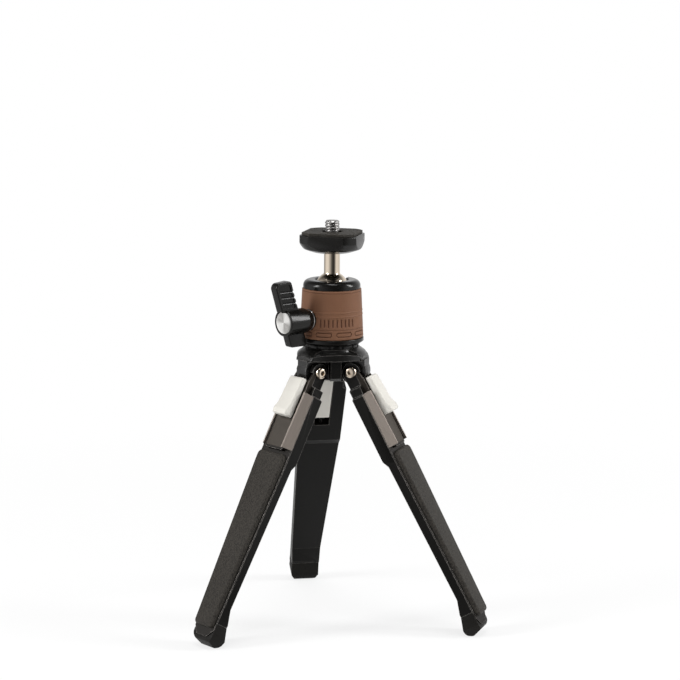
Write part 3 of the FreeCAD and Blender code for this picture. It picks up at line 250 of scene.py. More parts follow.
# Each look's worn colour and wear amount also paint a highlight on the edges.
looks = {
    "blackMetal": {
        "name": "black satin coat", "dark": (0.0042, 0.0039, 0.0034, 1),
        "light": (0.0068, 0.0062, 0.0054, 1), "wornAndHighlight": (0.09, 0.084, 0.076, 1), "wearAndHighlight": 0.45,
        "grainSize": 2600.0, "grainDepth": 0.06, "blotchSize": 45.0, "rough": (0.17, 0.24),
        "specular": 0.26,
    },
    "blackCast": {
        "name": "black cast metal", "dark": (0.0055, 0.0052, 0.0047, 1),
        "light": (0.0085, 0.008, 0.0073, 1), "wornAndHighlight": (0.17, 0.16, 0.15, 1), "wearAndHighlight": 0.9,
        "grainSize": 1500.0, "grainDepth": 0.14, "blotchSize": 45.0, "rough": (0.20, 0.28),
        "specular": 0.5,
    },
    "blackLeg": {
        "name": "black leg plastic", "dark": (0.0040, 0.0038, 0.0033, 1),
        "light": (0.0066, 0.0062, 0.0055, 1), "wornAndHighlight": (0.27, 0.257, 0.24, 1), "wearAndHighlight": 1.0,
        "grainSize": 1900.0, "grainDepth": 0.12, "blotchSize": 45.0, "rough": (0.28, 0.36),
        "specular": 0.14,
    },
    "blackPlastic": {
        "name": "black moulded plastic", "dark": (0.0045, 0.0042, 0.0037, 1),
        "light": (0.0072, 0.0067, 0.006, 1), "wornAndHighlight": (0.11, 0.104, 0.096, 1), "wearAndHighlight": 0.5,
        "grainSize": 3200.0, "grainDepth": 0.05, "blotchSize": 60.0, "rough": (0.17, 0.24),
        "specular": 0.22,
    },
    "brownRubber": {
        "name": "brown moulded rubber", "dark": (0.150, 0.069, 0.037, 1),
        "light": (0.188, 0.091, 0.051, 1), "wornAndHighlight": (0.30, 0.18, 0.12, 1), "wearAndHighlight": 0.25,
        # the groove colour is painted shade in the moulded grooves
        "grooveShade": (0.092, 0.040, 0.023, 1), "grainSize": 2400.0, "grainDepth": 0.18,
        "blotchSize": 70.0, "rough": (0.50, 0.60), "specular": 0.18,
    },
    "padRubber": {
        "name": "dark grained rubber", "dark": (0.030, 0.0262, 0.0212, 1),
        "light": (0.046, 0.0412, 0.035, 1), "wornAndHighlight": (0.10, 0.094, 0.087, 1), "wearAndHighlight": 0.4,
        # the pit colour is painted shade in the grain's hollows
        "pitShade": (0.006, 0.0055, 0.005, 1), "pitSpan": (0.56, 0.40), "speckle": 0.55,
        "grainSize": 1500.0, "grainDepth": 1.0, "grainHeight": 0.5, "blotchSize": 50.0,
        "rough": (0.52, 0.66), "specular": 0.16,
    },
    "bootRubber": {
        "name": "black boot rubber", "dark": (0.0065, 0.006, 0.005, 1),
        "light": (0.011, 0.010, 0.0085, 1), "wornAndHighlight": (0.07, 0.066, 0.060, 1), "wearAndHighlight": 0.4,
        "grainSize": 1800.0, "grainDepth": 0.4, "grainHeight": 0.4, "blotchSize": 60.0,
        "rough": (0.46, 0.58), "specular": 0.12,
    },
    "whitePlastic": {
        "name": "white moulded plastic", "dark": (0.62, 0.60, 0.55, 1),
        "light": (0.665, 0.645, 0.595, 1), "wornAndHighlight": (0.74, 0.73, 0.70, 1), "wearAndHighlight": 0.3,
        "grainSize": 3000.0, "grainDepth": 0.04, "blotchSize": 80.0, "rough": (0.28, 0.4),
        "specular": 0.3,
    },
    # painted reflection: the warm brown tint stands in for the beige surroundings that the plating
    # reflects
    "chrome": {
        "name": "bright plating", "dark": (0.68, 0.58, 0.465, 1),
        "light": (0.76, 0.655, 0.535, 1), "wornAndHighlight": (0.84, 0.76, 0.66, 1), "wearAndHighlight": 0.2,
        "grainSize": 1200.0, "grainDepth": 0.02, "blotchSize": 90.0, "rough": (0.07, 0.12),
        "metallic": 1.0,
    },
    "steel": {
        "name": "plain steel", "dark": (0.38, 0.37, 0.36, 1), "light": (0.50, 0.49, 0.48, 1),
        "wornAndHighlight": (0.66, 0.66, 0.66, 1), "wearAndHighlight": 0.4, "grainSize": 2200.0, "grainDepth": 0.08,
        "blotchSize": 90.0, "rough": (0.22, 0.34), "metallic": 1.0,
    },
    # the dim colour and the quarters paint a reflection on the spun cap
    "spunMetal": {
        "name": "spun aluminium", "dark": (0.86, 0.85, 0.83, 1), "light": (0.95, 0.94, 0.92, 1),
        "dim": (0.42, 0.41, 0.395, 1), "reflectionQuarters": (-0.7, 0.8), "spun": 0.7,
        "wornAndHighlight": (0.95, 0.95, 0.94, 1), "wearAndHighlight": 0.3, "grainSize": 2200.0, "grainDepth": 0.03,
        "blotchSize": 90.0, "rough": (0.24, 0.30), "metallic": 1.0,
    },
}
materials = {key: grainMaterial(look) for key, look in looks.items()}

brushed = {
    "dark": (0.20, 0.171, 0.149, 1), "light": (0.30, 0.261, 0.231, 1),
    "wornAndHighlight": (0.46, 0.425, 0.40, 1), "wearAndHighlight": 0.6, "rough": (0.44, 0.54), "metallic": 0.8,
    "across": 7000.0, "depth": 0.2, "spread": 0.92,
    # the track and tray colours are painted shade
    "trackShade": (0.052, 0.045, 0.038, 1), "trackFace": 4.0, "trackHalf": 6.05, "sideFade": 0.2,
    "tray": (0.016, 0.0145, 0.013, 1), "trackEnd": 36.6, "fade": 0.4,
}


def brushedMaterial(side):  # the marks run down the leg, and painted shade darkens its recessed track and the tray under the pad
    material, tree, shader = newMaterial(f"brushed gunmetal {side}")
    unturn = addNode(tree, "ShaderNodeVectorRotate", {
        "Vector": objectPlace(tree), "Angle": -math.radians(legAzimuths[side]),
        "Axis": (0, 0, 1)})
    untilt = addNode(tree, "ShaderNodeVectorRotate", {
        "Vector": unturn.outputs["Vector"], "Center": (hingeRadius, 0, hingeZ),
        "Angle": legTilt, "Axis": (0, 1, 0)})
    place = untilt.outputs["Vector"]
    apart = addNode(tree, "ShaderNodeSeparateXYZ", {0: place})
    brush = addNode(tree, "ShaderNodeGroup", {
        "Vector": place, "Across": brushed["across"], "Depth": brushed["depth"],
    }, node_tree=brushGroup)
    edge = addNode(tree, "ShaderNodeGroup", node_tree=edgeGroup)
    face, half, end = brushed["trackFace"], brushed["trackHalf"], brushed["trackEnd"]
    # painted shade on the recessed track
    sunk = remap(tree, apart.outputs["X"], (
        hingeRadius + face * mm, hingeRadius + (face + brushed["fade"]) * mm), (1.0, 0.0))
    across = addNode(tree, "ShaderNodeMath", {0: apart.outputs["Y"]}, operation="ABSOLUTE")
    between = remap(tree, across.outputs[0], (
        half * mm, (half + brushed["sideFade"]) * mm), (1.0, 0.0))
    # painted shade on the tray under the pad, below the track's end
    below = remap(tree, apart.outputs["Z"], (
        hingeZ - end * mm, hingeZ - (end + brushed["fade"]) * mm))
    color = mixColor(tree, brush.outputs["Streaks"], brushed["dark"], brushed["light"])
    color = mixColor(tree, multiply(tree, sunk, between), color, brushed["trackShade"])
    color = mixColor(tree, below, color, brushed["tray"])
    # painted highlight on the edges, together with real wear
    wearAndHighlight = multiply(tree, edge.outputs["Mask"], brushed["wearAndHighlight"])
    acrossLeg = legMatrix(side).to_3x3() @ Vector((0, 1, 0))
    direction = addNode(tree, "ShaderNodeCombineXYZ", {
        0: acrossLeg.x, 1: acrossLeg.y, 2: acrossLeg.z})
    follow = addNode(tree, "ShaderNodeVectorTransform", {0: direction.outputs[0]},
                     vector_type="VECTOR", convert_from="OBJECT", convert_to="WORLD")
    setInputs(tree, shader, {
        "Base Color": mixColor(tree, wearAndHighlight, color, brushed["wornAndHighlight"]),
        "Normal": brush.outputs["Normal"],
        "Roughness": remap(tree, brush.outputs["Streaks"], (0.0, 1.0), brushed["rough"]),
        "Metallic": brushed["metallic"], "Anisotropic": brushed["spread"],
        "Tangent": follow.outputs[0]})
    return material


gunmetal = {side: brushedMaterial(side) for side in legAzimuths}
print("materials made:", len(bpy.data.materials))


# Modelling helpers

def startClean():
    if bpy.context.object and bpy.context.object.mode != "OBJECT":
        bpy.ops.object.mode_set(mode="OBJECT")
    bpy.ops.object.select_all(action="DESELECT")


def takeUp(piece):
    startClean()
    piece.select_set(True)
    bpy.context.view_layer.objects.active = piece


def softCorners(corners, steps=5):  # a corner is (x, y), or (x, y, radius) to be rounded
    points = []
    count = len(corners)
    for i, corner in enumerate(corners):
        here = Vector(corner[:2])
        if len(corner) < 3:
            points.append(here)
            continue
        before = (Vector(corners[i - 1][:2]) - here).normalized()
        after = (Vector(corners[(i + 1) % count][:2]) - here).normalized()
        half = before.angle(after) / 2
        middle = here + (before + after).normalized() * (corner[2] / math.sin(half))
        start = here + before * (corner[2] / math.tan(half)) - middle
        end = here + after * (corner[2] / math.tan(half)) - middle
        for k in range(steps + 1):
            arm = start.lerp(end, k / steps)
            points.append(middle + arm.normalized() * corner[2])
    return [(point.x, point.y) for point in points]


def arc(middle, radius, start, end, steps):
    turns = [math.radians(start + (end - start) * k / steps) for k in range(steps + 1)]
    return [(middle[0] + radius * math.cos(turn), middle[1] + radius * math.sin(turn))
            for turn in turns]


def drawOutline(name, points, placing, filled):  # points in mm
    mesh = bpy.data.meshes.new(name)
    count = len(points)
    edges = [] if filled else [(i, (i + 1) % count) for i in range(count)]
    faces = [tuple(range(count))] if filled else []
    mesh.from_pydata([placing(a * mm, b * mm) for a, b in points], edges, faces)
    piece = bpy.data.objects.new(name, mesh)
    bpy.context.scene.collection.objects.link(piece)
    takeUp(piece)
    bpy.ops.object.mode_set(mode="EDIT")
    bpy.ops.mesh.select_all(action="SELECT")
    return piece


def closeUp():
    bpy.ops.mesh.select_all(action="SELECT")
    bpy.ops.mesh.remove_doubles(threshold=weldGap)
    bpy.ops.mesh.normals_make_consistent(inside=False)
    bpy.ops.object.mode_set(mode="OBJECT")


def turned(name, points, steps, axis="Z"):  # points are (radius, distance along the axis)
    placings = {"Z": lambda r, h: (r, 0, h), "X": lambda r, h: (h, 0, r),
                "Y": lambda r, h: (r, h, 0)}
    along = {"Z": (0, 0, 1), "X": (1, 0, 0), "Y": (0, 1, 0)}[axis]
    piece = drawOutline(name, points, placings[axis], False)
    bpy.ops.mesh.spin(steps=steps, angle=math.tau, center=(0, 0, 0), axis=along)
    closeUp()
    return piece


def slab(name, points, axis, low, high):  # an outline across the axis, pulled out from low to high
    placings = {"Y": lambda a, b: (a, low * mm, b), "X": lambda a, b: (low * mm, a, b)}
    move = {"Y": (0, (high - low) * mm, 0), "X": ((high - low) * mm, 0, 0)}[axis]
    piece = drawOutline(name, points, placings[axis], True)
    bpy.ops.mesh.extrude_region_move(TRANSFORM_OT_translate={"value": move})
    closeUp()
    return piece


def rounder(piece, width, segments, angle):
    takeUp(piece)
    bevel = piece.modifiers.new("round", "BEVEL")
    bevel.width = width * mm
    bevel.segments = segments
    bevel.limit_method = "ANGLE"
    bevel.angle_limit = math.radians(angle)
    bpy.ops.object.modifier_apply(modifier=bevel.name)


def combine(piece, tool, operation="DIFFERENCE"):
    takeUp(piece)
    join = piece.modifiers.new("join", "BOOLEAN")
    join.object = tool
    join.operation = operation
    join.solver = "EXACT"
    bpy.ops.object.modifier_apply(modifier=join.name)
    bpy.data.objects.remove(tool, do_unlink=True)


def bar(name, radius, start, end, axis, middle=(0, 0), sides=48):  # round or many-sided tool
    turn = {"X": (0, math.radians(90), 0), "Y": (math.radians(90), 0, 0), "Z": (0, 0, 0)}[axis]
    half = (start + end) / 2
    place = {"X": (half, *middle), "Y": (middle[0], half, middle[1]), "Z": (*middle, half)}[axis]
    startClean()
    bpy.ops.mesh.primitive_cylinder_add(
        vertices=sides, radius=radius * mm, depth=(end - start) * mm,
        location=[value * mm for value in place], rotation=turn)
    tool = bpy.context.object
    tool.name = name
    bpy.ops.object.transform_apply(location=True, rotation=True, scale=True)
    return tool


def putAt(piece, matrix):
    piece.data.transform(matrix)
    piece.data.update()


def copyPiece(piece, name, matrix):  # each copy has its own mesh
    copy = piece.copy()
    copy.data = piece.data.copy()
    copy.name = name
    bpy.context.scene.collection.objects.link(copy)
    putAt(copy, matrix)
    return copy


def finishPiece(piece, body, material, replaced, angle=32):
    takeUp(piece)
    bpy.ops.object.shade_smooth_by_angle(angle=math.radians(angle))
    piece.data.materials.clear()
    piece.data.materials.append(material)
    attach(piece, body)
    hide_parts(*replaced)


# Head: rubber sleeve, collar, ball and base ring

notch = {"half": 4.5, "bottom": -25.30, "top": -15.0, "from": 0.0, "to": 18.0}


def notchTool():  # U-shaped cut that the neck drops into
    outline = [(notch["half"], notch["top"])]
    outline += arc((0, notch["bottom"]), notch["half"], 0, -180, steps=24)
    outline.append((-notch["half"], notch["top"]))
    tool = slab("notchTool", outline, "X", notch["from"], notch["to"])
    putAt(tool, notchMatrix)
    return tool


sleeve = {
    "steps": 600, "low": -46.47, "high": -24.97, "inner": 10.95, "lowRadius": 14.05,
    "highRadius": 13.0, "footRound": 0.7, "footIn": 0.02, "topRound": 0.45, "roundStop": 8,
    "skin": 1.0, "leverHole": 4.8, "leverFrom": 8.0, "leverReach": 18.0,
    "rows": [  # level where each run of rows starts, and how many rows it has
        (-45.77, 4), (-44.9, 22), (-43.02, 3), (-42.25, 8), (-41.55, 6), (-40.5, 6),
        (-37.4, 4), (-36.7, 24), (-33.9, 8), (-26.3, 8), (-25.6, 1)],
    "topRow": -25.42,
}
sleeveRelief = {
    "beads": (-34.4, -36.2), "beadRise": 0.16, "beadHalf": 0.42,
    "rings": ((-41.9, 0.28, 0.2), (-25.95, 0.24, 0.22)),
    "ribLow": -40.8, "ribHigh": -37.1, "ribPitch": 7.8, "ribSide": 4, "ribDeep": 0.42,
    "ribHalf": 0.27, "ribMiddles": (90.0, 270.0), "ribFade": 0.25,
    "loopLevel": -43.96, "loopHalfHigh": 0.86, "loopHalfLong": 3.57, "loopPitch": 38.5,
    "loopStart": 245.1, "loopFirst": -1, "loopLast": 7, "loopDeep": 0.4, "loopGroove": 0.3,
}


def hump(distance, half):  # 1 in the middle and 0 at the half width, with soft sides
    return 0.5 + 0.5 * math.cos(math.pi * distance / half) if abs(distance) < half else 0.0


def sleeveRows():
    starts = [level for level, count in sleeve["rows"]] + [sleeve["topRow"]]
    rows = []
    for (low, count), high in zip(sleeve["rows"], starts[1:]):
        rows += [low + (high - low) * k / count for k in range(count)]
    return rows + [sleeve["topRow"]]


def sleeveWall(z):
    share = (z - sleeve["low"]) / (sleeve["high"] - sleeve["low"])
    return sleeve["lowRadius"] + (sleeve["highRadius"] - sleeve["lowRadius"]) * share


def reliefAt(angle, z):  # how far the moulded pattern stands out from the sleeve, in mm
    relief = sleeveRelief
    rise = sum(relief["beadRise"] * hump(z - level, relief["beadHalf"])
               for level in relief["beads"])
    rise -= sum(deep * hump(z - level, half) for level, half, deep in relief["rings"])
    if relief["ribLow"] < z < relief["ribHigh"]:
        ends = min(z - relief["ribLow"], relief["ribHigh"] - z) / relief["ribFade"]
        for middle in relief["ribMiddles"]:
            place = ((angle - middle + 180) % 360 - 180) / relief["ribPitch"]
            if abs(round(place)) <= relief["ribSide"]:
                side = hump(place - round(place), relief["ribHalf"])
                rise -= relief["ribDeep"] * min(ends, 1) * side
    if abs(z - relief["loopLevel"]) < relief["loopHalfHigh"] + relief["loopGroove"]:
        straight = relief["loopHalfLong"] - relief["loopHalfHigh"]
        for k in range(relief["loopFirst"], relief["loopLast"] + 1):
            middle = relief["loopStart"] + relief["loopPitch"] * k
            along = math.radians((angle - middle + 180) % 360 - 180) * sleeveWall(z)
            outside = max(abs(along) - straight, 0)
            edge = math.hypot(outside, z - relief["loopLevel"]) - relief["loopHalfHigh"]
            rise -= relief["loopDeep"] * hump(edge, relief["loopGroove"])
    return rise


def makeSleeve():
    foot, top = sleeve["footRound"], sleeve["topRound"]
    low, high, stop = sleeve["low"], sleeve["high"], sleeve["roundStop"]
    footMiddle = (sleeveWall(low) - foot - sleeve["footIn"], low + foot)
    outline = [(sleeve["inner"], high), (sleeve["inner"], low)]
    outline += arc(footMiddle, foot, -90, -stop, steps=6)
    outline += [(sleeveWall(z), z) for z in sleeveRows()]
    outline += arc((sleeve["highRadius"] - top, high - top), top, stop, 90, steps=5)
    piece = turned("gripSleeve", outline, sleeve["steps"])
    # painted shade: how deep the pattern sinks darkens the rubber there
    grooveShade = piece.data.attributes.new("grooveShade", "FLOAT", "POINT")
    for vertex in piece.data.vertices:  # the pattern goes into the outer wall alone
        x, y, z = vertex.co / mm
        radius = math.hypot(x, y)
        if radius > sleeve["inner"] + sleeve["skin"] and low + foot < z < high - top:
            rise = reliefAt(math.degrees(math.atan2(y, x)), z)
            vertex.co.x = x * (1 + rise / radius) * mm
            vertex.co.y = y * (1 + rise / radius) * mm
            grooveShade.data[vertex.index].value = min(1.0, max(0.0, -rise / sleeveRelief["loopDeep"]))
    hole = bar("leverHole", sleeve["leverHole"], sleeve["leverFrom"], sleeve["leverReach"], "X")
    putAt(hole, leverMatrix)
    combine(piece, hole)
    combine(piece, notchTool())
    finishPiece(piece, "head", materials["brownRubber"], ["grip_sleeve"],
                angle=50)


makeSleeve()
print("sleeve made")

collar = {
    "steps": 144,
    "outline": [(8.2, -24.87), (12.6, -24.87, 0.15), (12.6, -21.17, 2.6), (7.6, -21.17, 0.5),
                (6.95, -22.27, 0.4)],
}


def makeCollar():
    piece = turned("headCollar", softCorners(collar["outline"], steps=8), collar["steps"])
    combine(piece, notchTool())
    finishPiece(piece, "head", materials["blackMetal"], ["head_collar"])


makeCollar()

ball = {
    "steps": 128, "middle": -25.30, "radius": 7.5, "flat": -68, "arcSteps": 60, "neck": 3.5,
    "neckTop": -6.10, "flare": 4.0, "flareHigh": 1.0, "flareSteps": 5,
}


def makeBall():
    middle, radius, steps = ball["middle"], ball["radius"], ball["flareSteps"]
    shoulder = math.degrees(math.acos(ball["flare"] / radius))
    flareLow = middle + math.sqrt(radius ** 2 - ball["flare"] ** 2)
    outline = [(0, middle + radius * math.sin(math.radians(ball["flat"])))]
    outline += arc((0, middle), radius, ball["flat"], shoulder, ball["arcSteps"])
    for k in range(1, steps + 1):
        sweep = math.radians(90 * k / steps)
        outline.append((ball["neck"] + (ball["flare"] - ball["neck"]) * (1 - math.sin(sweep)),
                        flareLow + ball["flareHigh"] * (1 - math.cos(sweep))))
    outline += [(ball["neck"], ball["neckTop"]), (0, ball["neckTop"])]
    piece = turned("ballAndNeck", outline, ball["steps"])
    finishPiece(piece, "ball", materials["chrome"], ["ball_stem"])


makeBall()

baseRing = {
    "steps": 144,
    "outline": [(3.23, -49.27), (12.5, -49.27, 0.35), (14.2, -48.07, 0.5), (14.2, -46.57, 0.22),
                (3.23, -46.57)],
}


def makeBaseRing():
    piece = turned("baseRing", softCorners(baseRing["outline"]), baseRing["steps"])
    finishPiece(piece, "head", materials["blackMetal"], ["base_ring"])


makeBaseRing()
print("collar, ball and base ring made")


# Camera plate: turned, then milled flat on four sides

plate = {
    "steps": 144, "flat": 12.7, "reach": 20.0, "turn": -24.5, "low": -9.10, "high": -1.20,
    "outline": [(3.55, -9.10), (8.4, -9.10, 2.2), (12.6, -7.7, 2.6), (15.0, -4.6, 1.6),
                (15.0, -1.20, 0.45), (2.95, -1.20), (2.95, -6.0), (3.55, -6.0)],
    "edge": 0.22,
}


def makePlate():
    piece = turned("cameraPlate", softCorners(plate["outline"], steps=8), plate["steps"])
    reach, flat = plate["reach"], plate["flat"]
    low, high = plate["low"] - 1, plate["high"] + 1
    square = [(-reach, low), (reach, low), (reach, high), (-reach, high)]
    for start, end in ((flat, reach), (-reach, -flat)):
        combine(piece, slab("flatX", square, "X", start, end))
        combine(piece, slab("flatY", square, "Y", start, end))
    rounder(piece, plate["edge"], segments=2, angle=40)
    putAt(piece, Matrix.Rotation(math.radians(plate["turn"]), 4, "Z"))
    finishPiece(piece, "plate", materials["blackMetal"], ["camera_plate"])


makePlate()

# Camera screw, with a 1/4-20 thread cut above the seat

screw = {
    "steps": 72, "low": -5.90, "high": 4.80, "shank": 2.9, "major": 3.175, "minor": 2.5,
    "pitch": 1.27, "tip": 0.55, "rowGap": 0.08, "crest": 2.4,
}


def makeCameraScrew():
    high, major, minor, crest = screw["high"], screw["major"], screw["minor"], screw["crest"]
    outline = [(0, screw["low"]), (screw["shank"], screw["low"]), (screw["shank"], 0.0)]
    outline += [(major, k * screw["rowGap"]) for k in range(int(high / screw["rowGap"]) + 1)]
    outline += [(major, high), (0, high)]
    piece = turned("cameraScrew", outline, screw["steps"])
    for vertex in piece.data.vertices:
        x, y, z = vertex.co / mm
        radius = math.hypot(x, y)
        if z > -0.01 and radius > screw["shank"]:
            turn = (z / screw["pitch"] - math.atan2(y, x) / math.tau) % 1.0
            ridge = min(1.0, max(0.0, crest - 2 * crest * abs(turn - 0.5)))
            reach = min(minor + (major - minor) * ridge, major - max(0.0, z - high + screw["tip"]))
            vertex.co.x = x / radius * reach * mm
            vertex.co.y = y / radius * reach * mm
    finishPiece(piece, "plate", materials["steel"], ["camera_screw"], angle=60)


makeCameraScrew()


# Lever: a barrel with a long wing and a short one, and the spun cap in its end

lever = {
    "steps": 96, "barrelStart": 14.1, "barrelInner": 4.7, "barrelTaper": 16.7,
    "barrelMiddle": 5.6, "barrelEnd": 27.4, "barrelOuter": 6.0, "barrelEdge": 0.3,
    "taperRound": 1.5, "capSeat": 5.05, "capDepth": 0.8, "seatReach": 32.0,
    "lean": 18.0, "middle": 23.4, "half": 4.65, "wing": 18.3, "wingSlant": 0.9,
    "wingRounds": (1.7, 2.3), "stub": 11.0, "stubRound": 1.3, "thick": 2.0, "edge": 0.38,
    "border": 1.05, "recess": 0.45, "recessLow": 6.4, "recessHigh": 16.9,
    "recessRounds": (1.2, 1.6, 0.6),
    "notches": (8.4, 10.9, 13.4), "notchRadius": 0.62, "notchLevel": 1.72, "notchIn": 1.9,
}


def leanAt(level):
    return lever["middle"] + level * math.tan(math.radians(lever["lean"]))


def makeLever():
    half, wing, stub, thick = lever["half"], lever["wing"], lever["stub"], lever["thick"]
    slant = wing - lever["wingSlant"]
    outline = softCorners([
        (leanAt(wing) - half, wing, lever["wingRounds"][0]),
        (leanAt(slant) + half, slant, lever["wingRounds"][1]),
        (leanAt(-stub) + half, -stub, lever["stubRound"]),
        (leanAt(-stub) - half, -stub, lever["stubRound"]),
    ], steps=8)
    piece = slab("lockLever", outline, "Y", -thick, thick)
    rounder(piece, lever["edge"], segments=3, angle=40)
    low, high, border = lever["recessLow"], lever["recessHigh"], lever["border"]
    upperLeft, upperRight, lower = lever["recessRounds"]
    pocket = softCorners([
        (leanAt(high) - half + border, high, upperLeft),
        (leanAt(high) + half - border, high, upperRight),
        (leanAt(low) + half - border, low, lower), (leanAt(low) - half + border, low, lower),
    ], steps=6)
    combine(piece, slab("pocket", pocket, "Y", thick - lever["recess"], thick + 2))
    for level in lever["notches"]:
        left, right = leanAt(level) - half - 2, leanAt(level) + half - lever["notchIn"]
        combine(piece, bar("notch", lever["notchRadius"], left, right, "X",
                           (lever["notchLevel"], level), sides=24))
    start, end = lever["barrelStart"], lever["barrelEnd"]
    barrel = turned("barrel", softCorners([
        (0, start), (lever["barrelInner"], start, lever["barrelEdge"]),
        (lever["barrelMiddle"], lever["barrelTaper"], lever["taperRound"]),
        (lever["barrelOuter"], end, lever["barrelEdge"]), (0, end),
    ], steps=6), lever["steps"], "X")
    combine(piece, barrel, "UNION")
    seat = bar("capSeat", lever["capSeat"], end - lever["capDepth"], lever["seatReach"], "X",
               sides=96)
    combine(piece, seat)
    putAt(piece, leverMatrix)
    finishPiece(piece, "lever", materials["blackPlastic"], ["lock_lever"])


makeLever()

cap = {
    "steps": 96, "low": 26.65, "rim": 5.0, "edge": 27.12, "face": 27.4, "faceRadius": 4.72,
    "lip": 0.3, "dish": 0.12, "rings": 6, "uvScale": 100,
}


def makeCap():
    face, radius, rings = cap["face"], cap["faceRadius"], cap["rings"]
    outline = [(0, cap["low"]), (cap["rim"], cap["low"]), (cap["rim"], cap["edge"]),
               (radius, face), (radius - cap["lip"], face - cap["dish"] * 0.5)]
    outline += [(radius * (1 - k / rings), face - cap["dish"]) for k in range(1, rings + 1)]
    piece = turned("leverCap", outline, cap["steps"], "X")
    roundMap = piece.data.uv_layers.new(name="round")
    for polygon in piece.data.polygons:  # U goes once round the axis, and V outwards
        about = math.atan2(polygon.center.z, polygon.center.y)
        for corner in polygon.loop_indices:
            place = piece.data.vertices[piece.data.loops[corner].vertex_index].co
            out = math.hypot(place.y, place.z)
            turn = math.atan2(place.z, place.y) - about if out > hair else 0.0
            turn = (turn + math.pi) % math.tau - math.pi
            roundMap.data[corner].uv = ((about + turn) / math.tau, out * cap["uvScale"])
    putAt(piece, leverMatrix)
    finishPiece(piece, "lever", materials["spunMetal"], ["lever_cap"])


makeCap()
print("screw, lever and cap made")


# Brows: the rounded fronts of the crown between its legs

brow = {
    "steps": 144, "azimuths": (30, 150, 270),
    "half": 11.2, "flat": 11.9, "middle": 14.2, "back": 10.5, "bowSteps": 24,
    "outline": [(9.0, -50.82), (12.3, -50.82), (12.45, -51.3), (12.72, -51.75), (13.1, -52.15),
                (13.55, -52.5), (14.1, -52.78), (14.8, -53.05), (15.5, -53.4), (16.0, -53.9),
                (16.3, -54.5), (16.4, -55.2), (16.4, -55.6), (9.0, -55.6)],
    "low": -58.0, "high": -49.0,
}


def makeBrows():
    half, back = brow["half"], brow["back"]
    sag = brow["middle"] - brow["flat"]
    bend = (half ** 2 + sag ** 2) / (2 * sag)
    sweep = math.degrees(math.asin(half / bend))
    bow = arc((0, brow["middle"] - bend), bend, 90 - sweep, 90 + sweep, brow["bowSteps"])
    bow += [(-half, back), (half, back)]
    front = slab("browFront", bow, "X", brow["low"], brow["high"])
    upright = Matrix(((0, 0, 1, 0), (0, -1, 0, 0), (1, 0, 0, 0), (0, 0, 0, 1)))
    putAt(front, upright)  # the slab was drawn along X, and now stands along Z
    piece = turned("crownBrow", brow["outline"], brow["steps"])
    combine(piece, front, "INTERSECT")
    for azimuth in brow["azimuths"]:
        turn = Matrix.Rotation(math.radians(azimuth), 4, "Z")
        copy = copyPiece(piece, f"crownBrow_{azimuth}", turn)
        finishPiece(copy, "crown", materials["blackCast"], [])
    bpy.data.objects.remove(piece, do_unlink=True)


makeBrows()


# Leg pieces, drawn in mm on a leg's own axes

def copyToLegs(piece, body, material, replaced):  # one copy for each leg
    for side in legAzimuths:
        copy = copyPiece(piece, f"{piece.name}_{side}", legMatrix(side))
        finishPiece(copy, f"{body}_{side}", material, [f"{replaced}_{side}"])
    bpy.data.objects.remove(piece, do_unlink=True)


latch = {
    "button": [(4.0, -5.1), (6.9, -5.1, 1.1), (7.3, -9.5), (7.55, -14.0), (8.0, -18.2),
               (9.1, -20.9, 0.9), (9.1, -23.4, 1.0), (4.0, -23.4)],
    "half": 4.45, "round": 0.8,
    "web": [(-4.0, -6.4), (4.6, -6.4), (4.6, -18.8), (1.1, -18.8), (1.1, -28.0), (-4.0, -28.0)],
    "webHalf": 3.1, "bore": 1.6, "boreAt": -1.4, "boreLow": -30.0, "boreTop": -10.4,
}


def makeLatches():
    outline = softCorners(latch["button"], steps=6)
    piece = slab("latchButton", outline, "Y", -latch["half"], latch["half"])
    rounder(piece, latch["round"], segments=4, angle=40)
    web = slab("web", latch["web"], "Y", -latch["webHalf"], latch["webHalf"])
    combine(piece, web, "UNION")
    combine(piece, bar("bore", latch["bore"], latch["boreLow"], latch["boreTop"], "Z",
                       (latch["boreAt"], 0), sides=32))
    copyToLegs(piece, "latch", materials["whitePlastic"], "latch")


makeLatches()

gripPad = {
    "corners": [(8.7, -39.5, 2.4), (8.7, -44.0), (5.75, -117.6), (5.75, -120.2, 1.9)],
    "under": 1.9, "face": 4.2, "round": 0.95,
}


def makeGripPads():
    corners = gripPad["corners"]
    corners = corners + [(-corner[0], *corner[1:]) for corner in reversed(corners)]
    outline = softCorners(corners, steps=6)
    piece = slab("gripPad", outline, "X", gripPad["under"], gripPad["face"])
    for items in (piece.data.vertices, piece.data.edges, piece.data.polygons):
        items.foreach_set("select", [False] * len(items))
    for face in piece.data.polygons:
        face.select = face.center.x > gripPad["face"] * mm - hair
    bpy.ops.object.mode_set(mode="EDIT")
    bpy.ops.mesh.region_to_loop()
    bpy.ops.mesh.bevel(offset=gripPad["round"] * mm, segments=5, affect="EDGES")
    closeUp()
    copyToLegs(piece, "leg", materials["padRubber"], "grip_pad")


makeGripPads()

boot = {
    "outline": [(1.4, -117.65), (1.4, -124.8, 1.2), (0.6, -126.0, 1.5), (-3.93, -127.62, 1.6),
                (-6.57, -126.18, 2.0), (-6.5, -123.6, 3.0), (-4.6, -117.65)],
    "half": 6.4, "soleHalf": 3.6, "cornerHigh": -123.6, "cornerLow": -128.4, "round": 1.1,
}


def makeBoots():
    half, sole, high, low = boot["half"], boot["soleHalf"], boot["cornerHigh"], boot["cornerLow"]
    piece = slab("footBoot", softCorners(boot["outline"], steps=6), "Y", -half, half)
    for way in (1, -1):  # the lower corners are cut off on both sides
        corner = [(way * half, high), (way * sole, low), (way * (half + 2), low),
                  (way * (half + 2), high)]
        combine(piece, slab("corner", corner, "X", -half * 2, half * 2))
    rounder(piece, boot["round"], segments=4, angle=25)
    copyToLegs(piece, "leg", materials["bootRubber"], "foot")


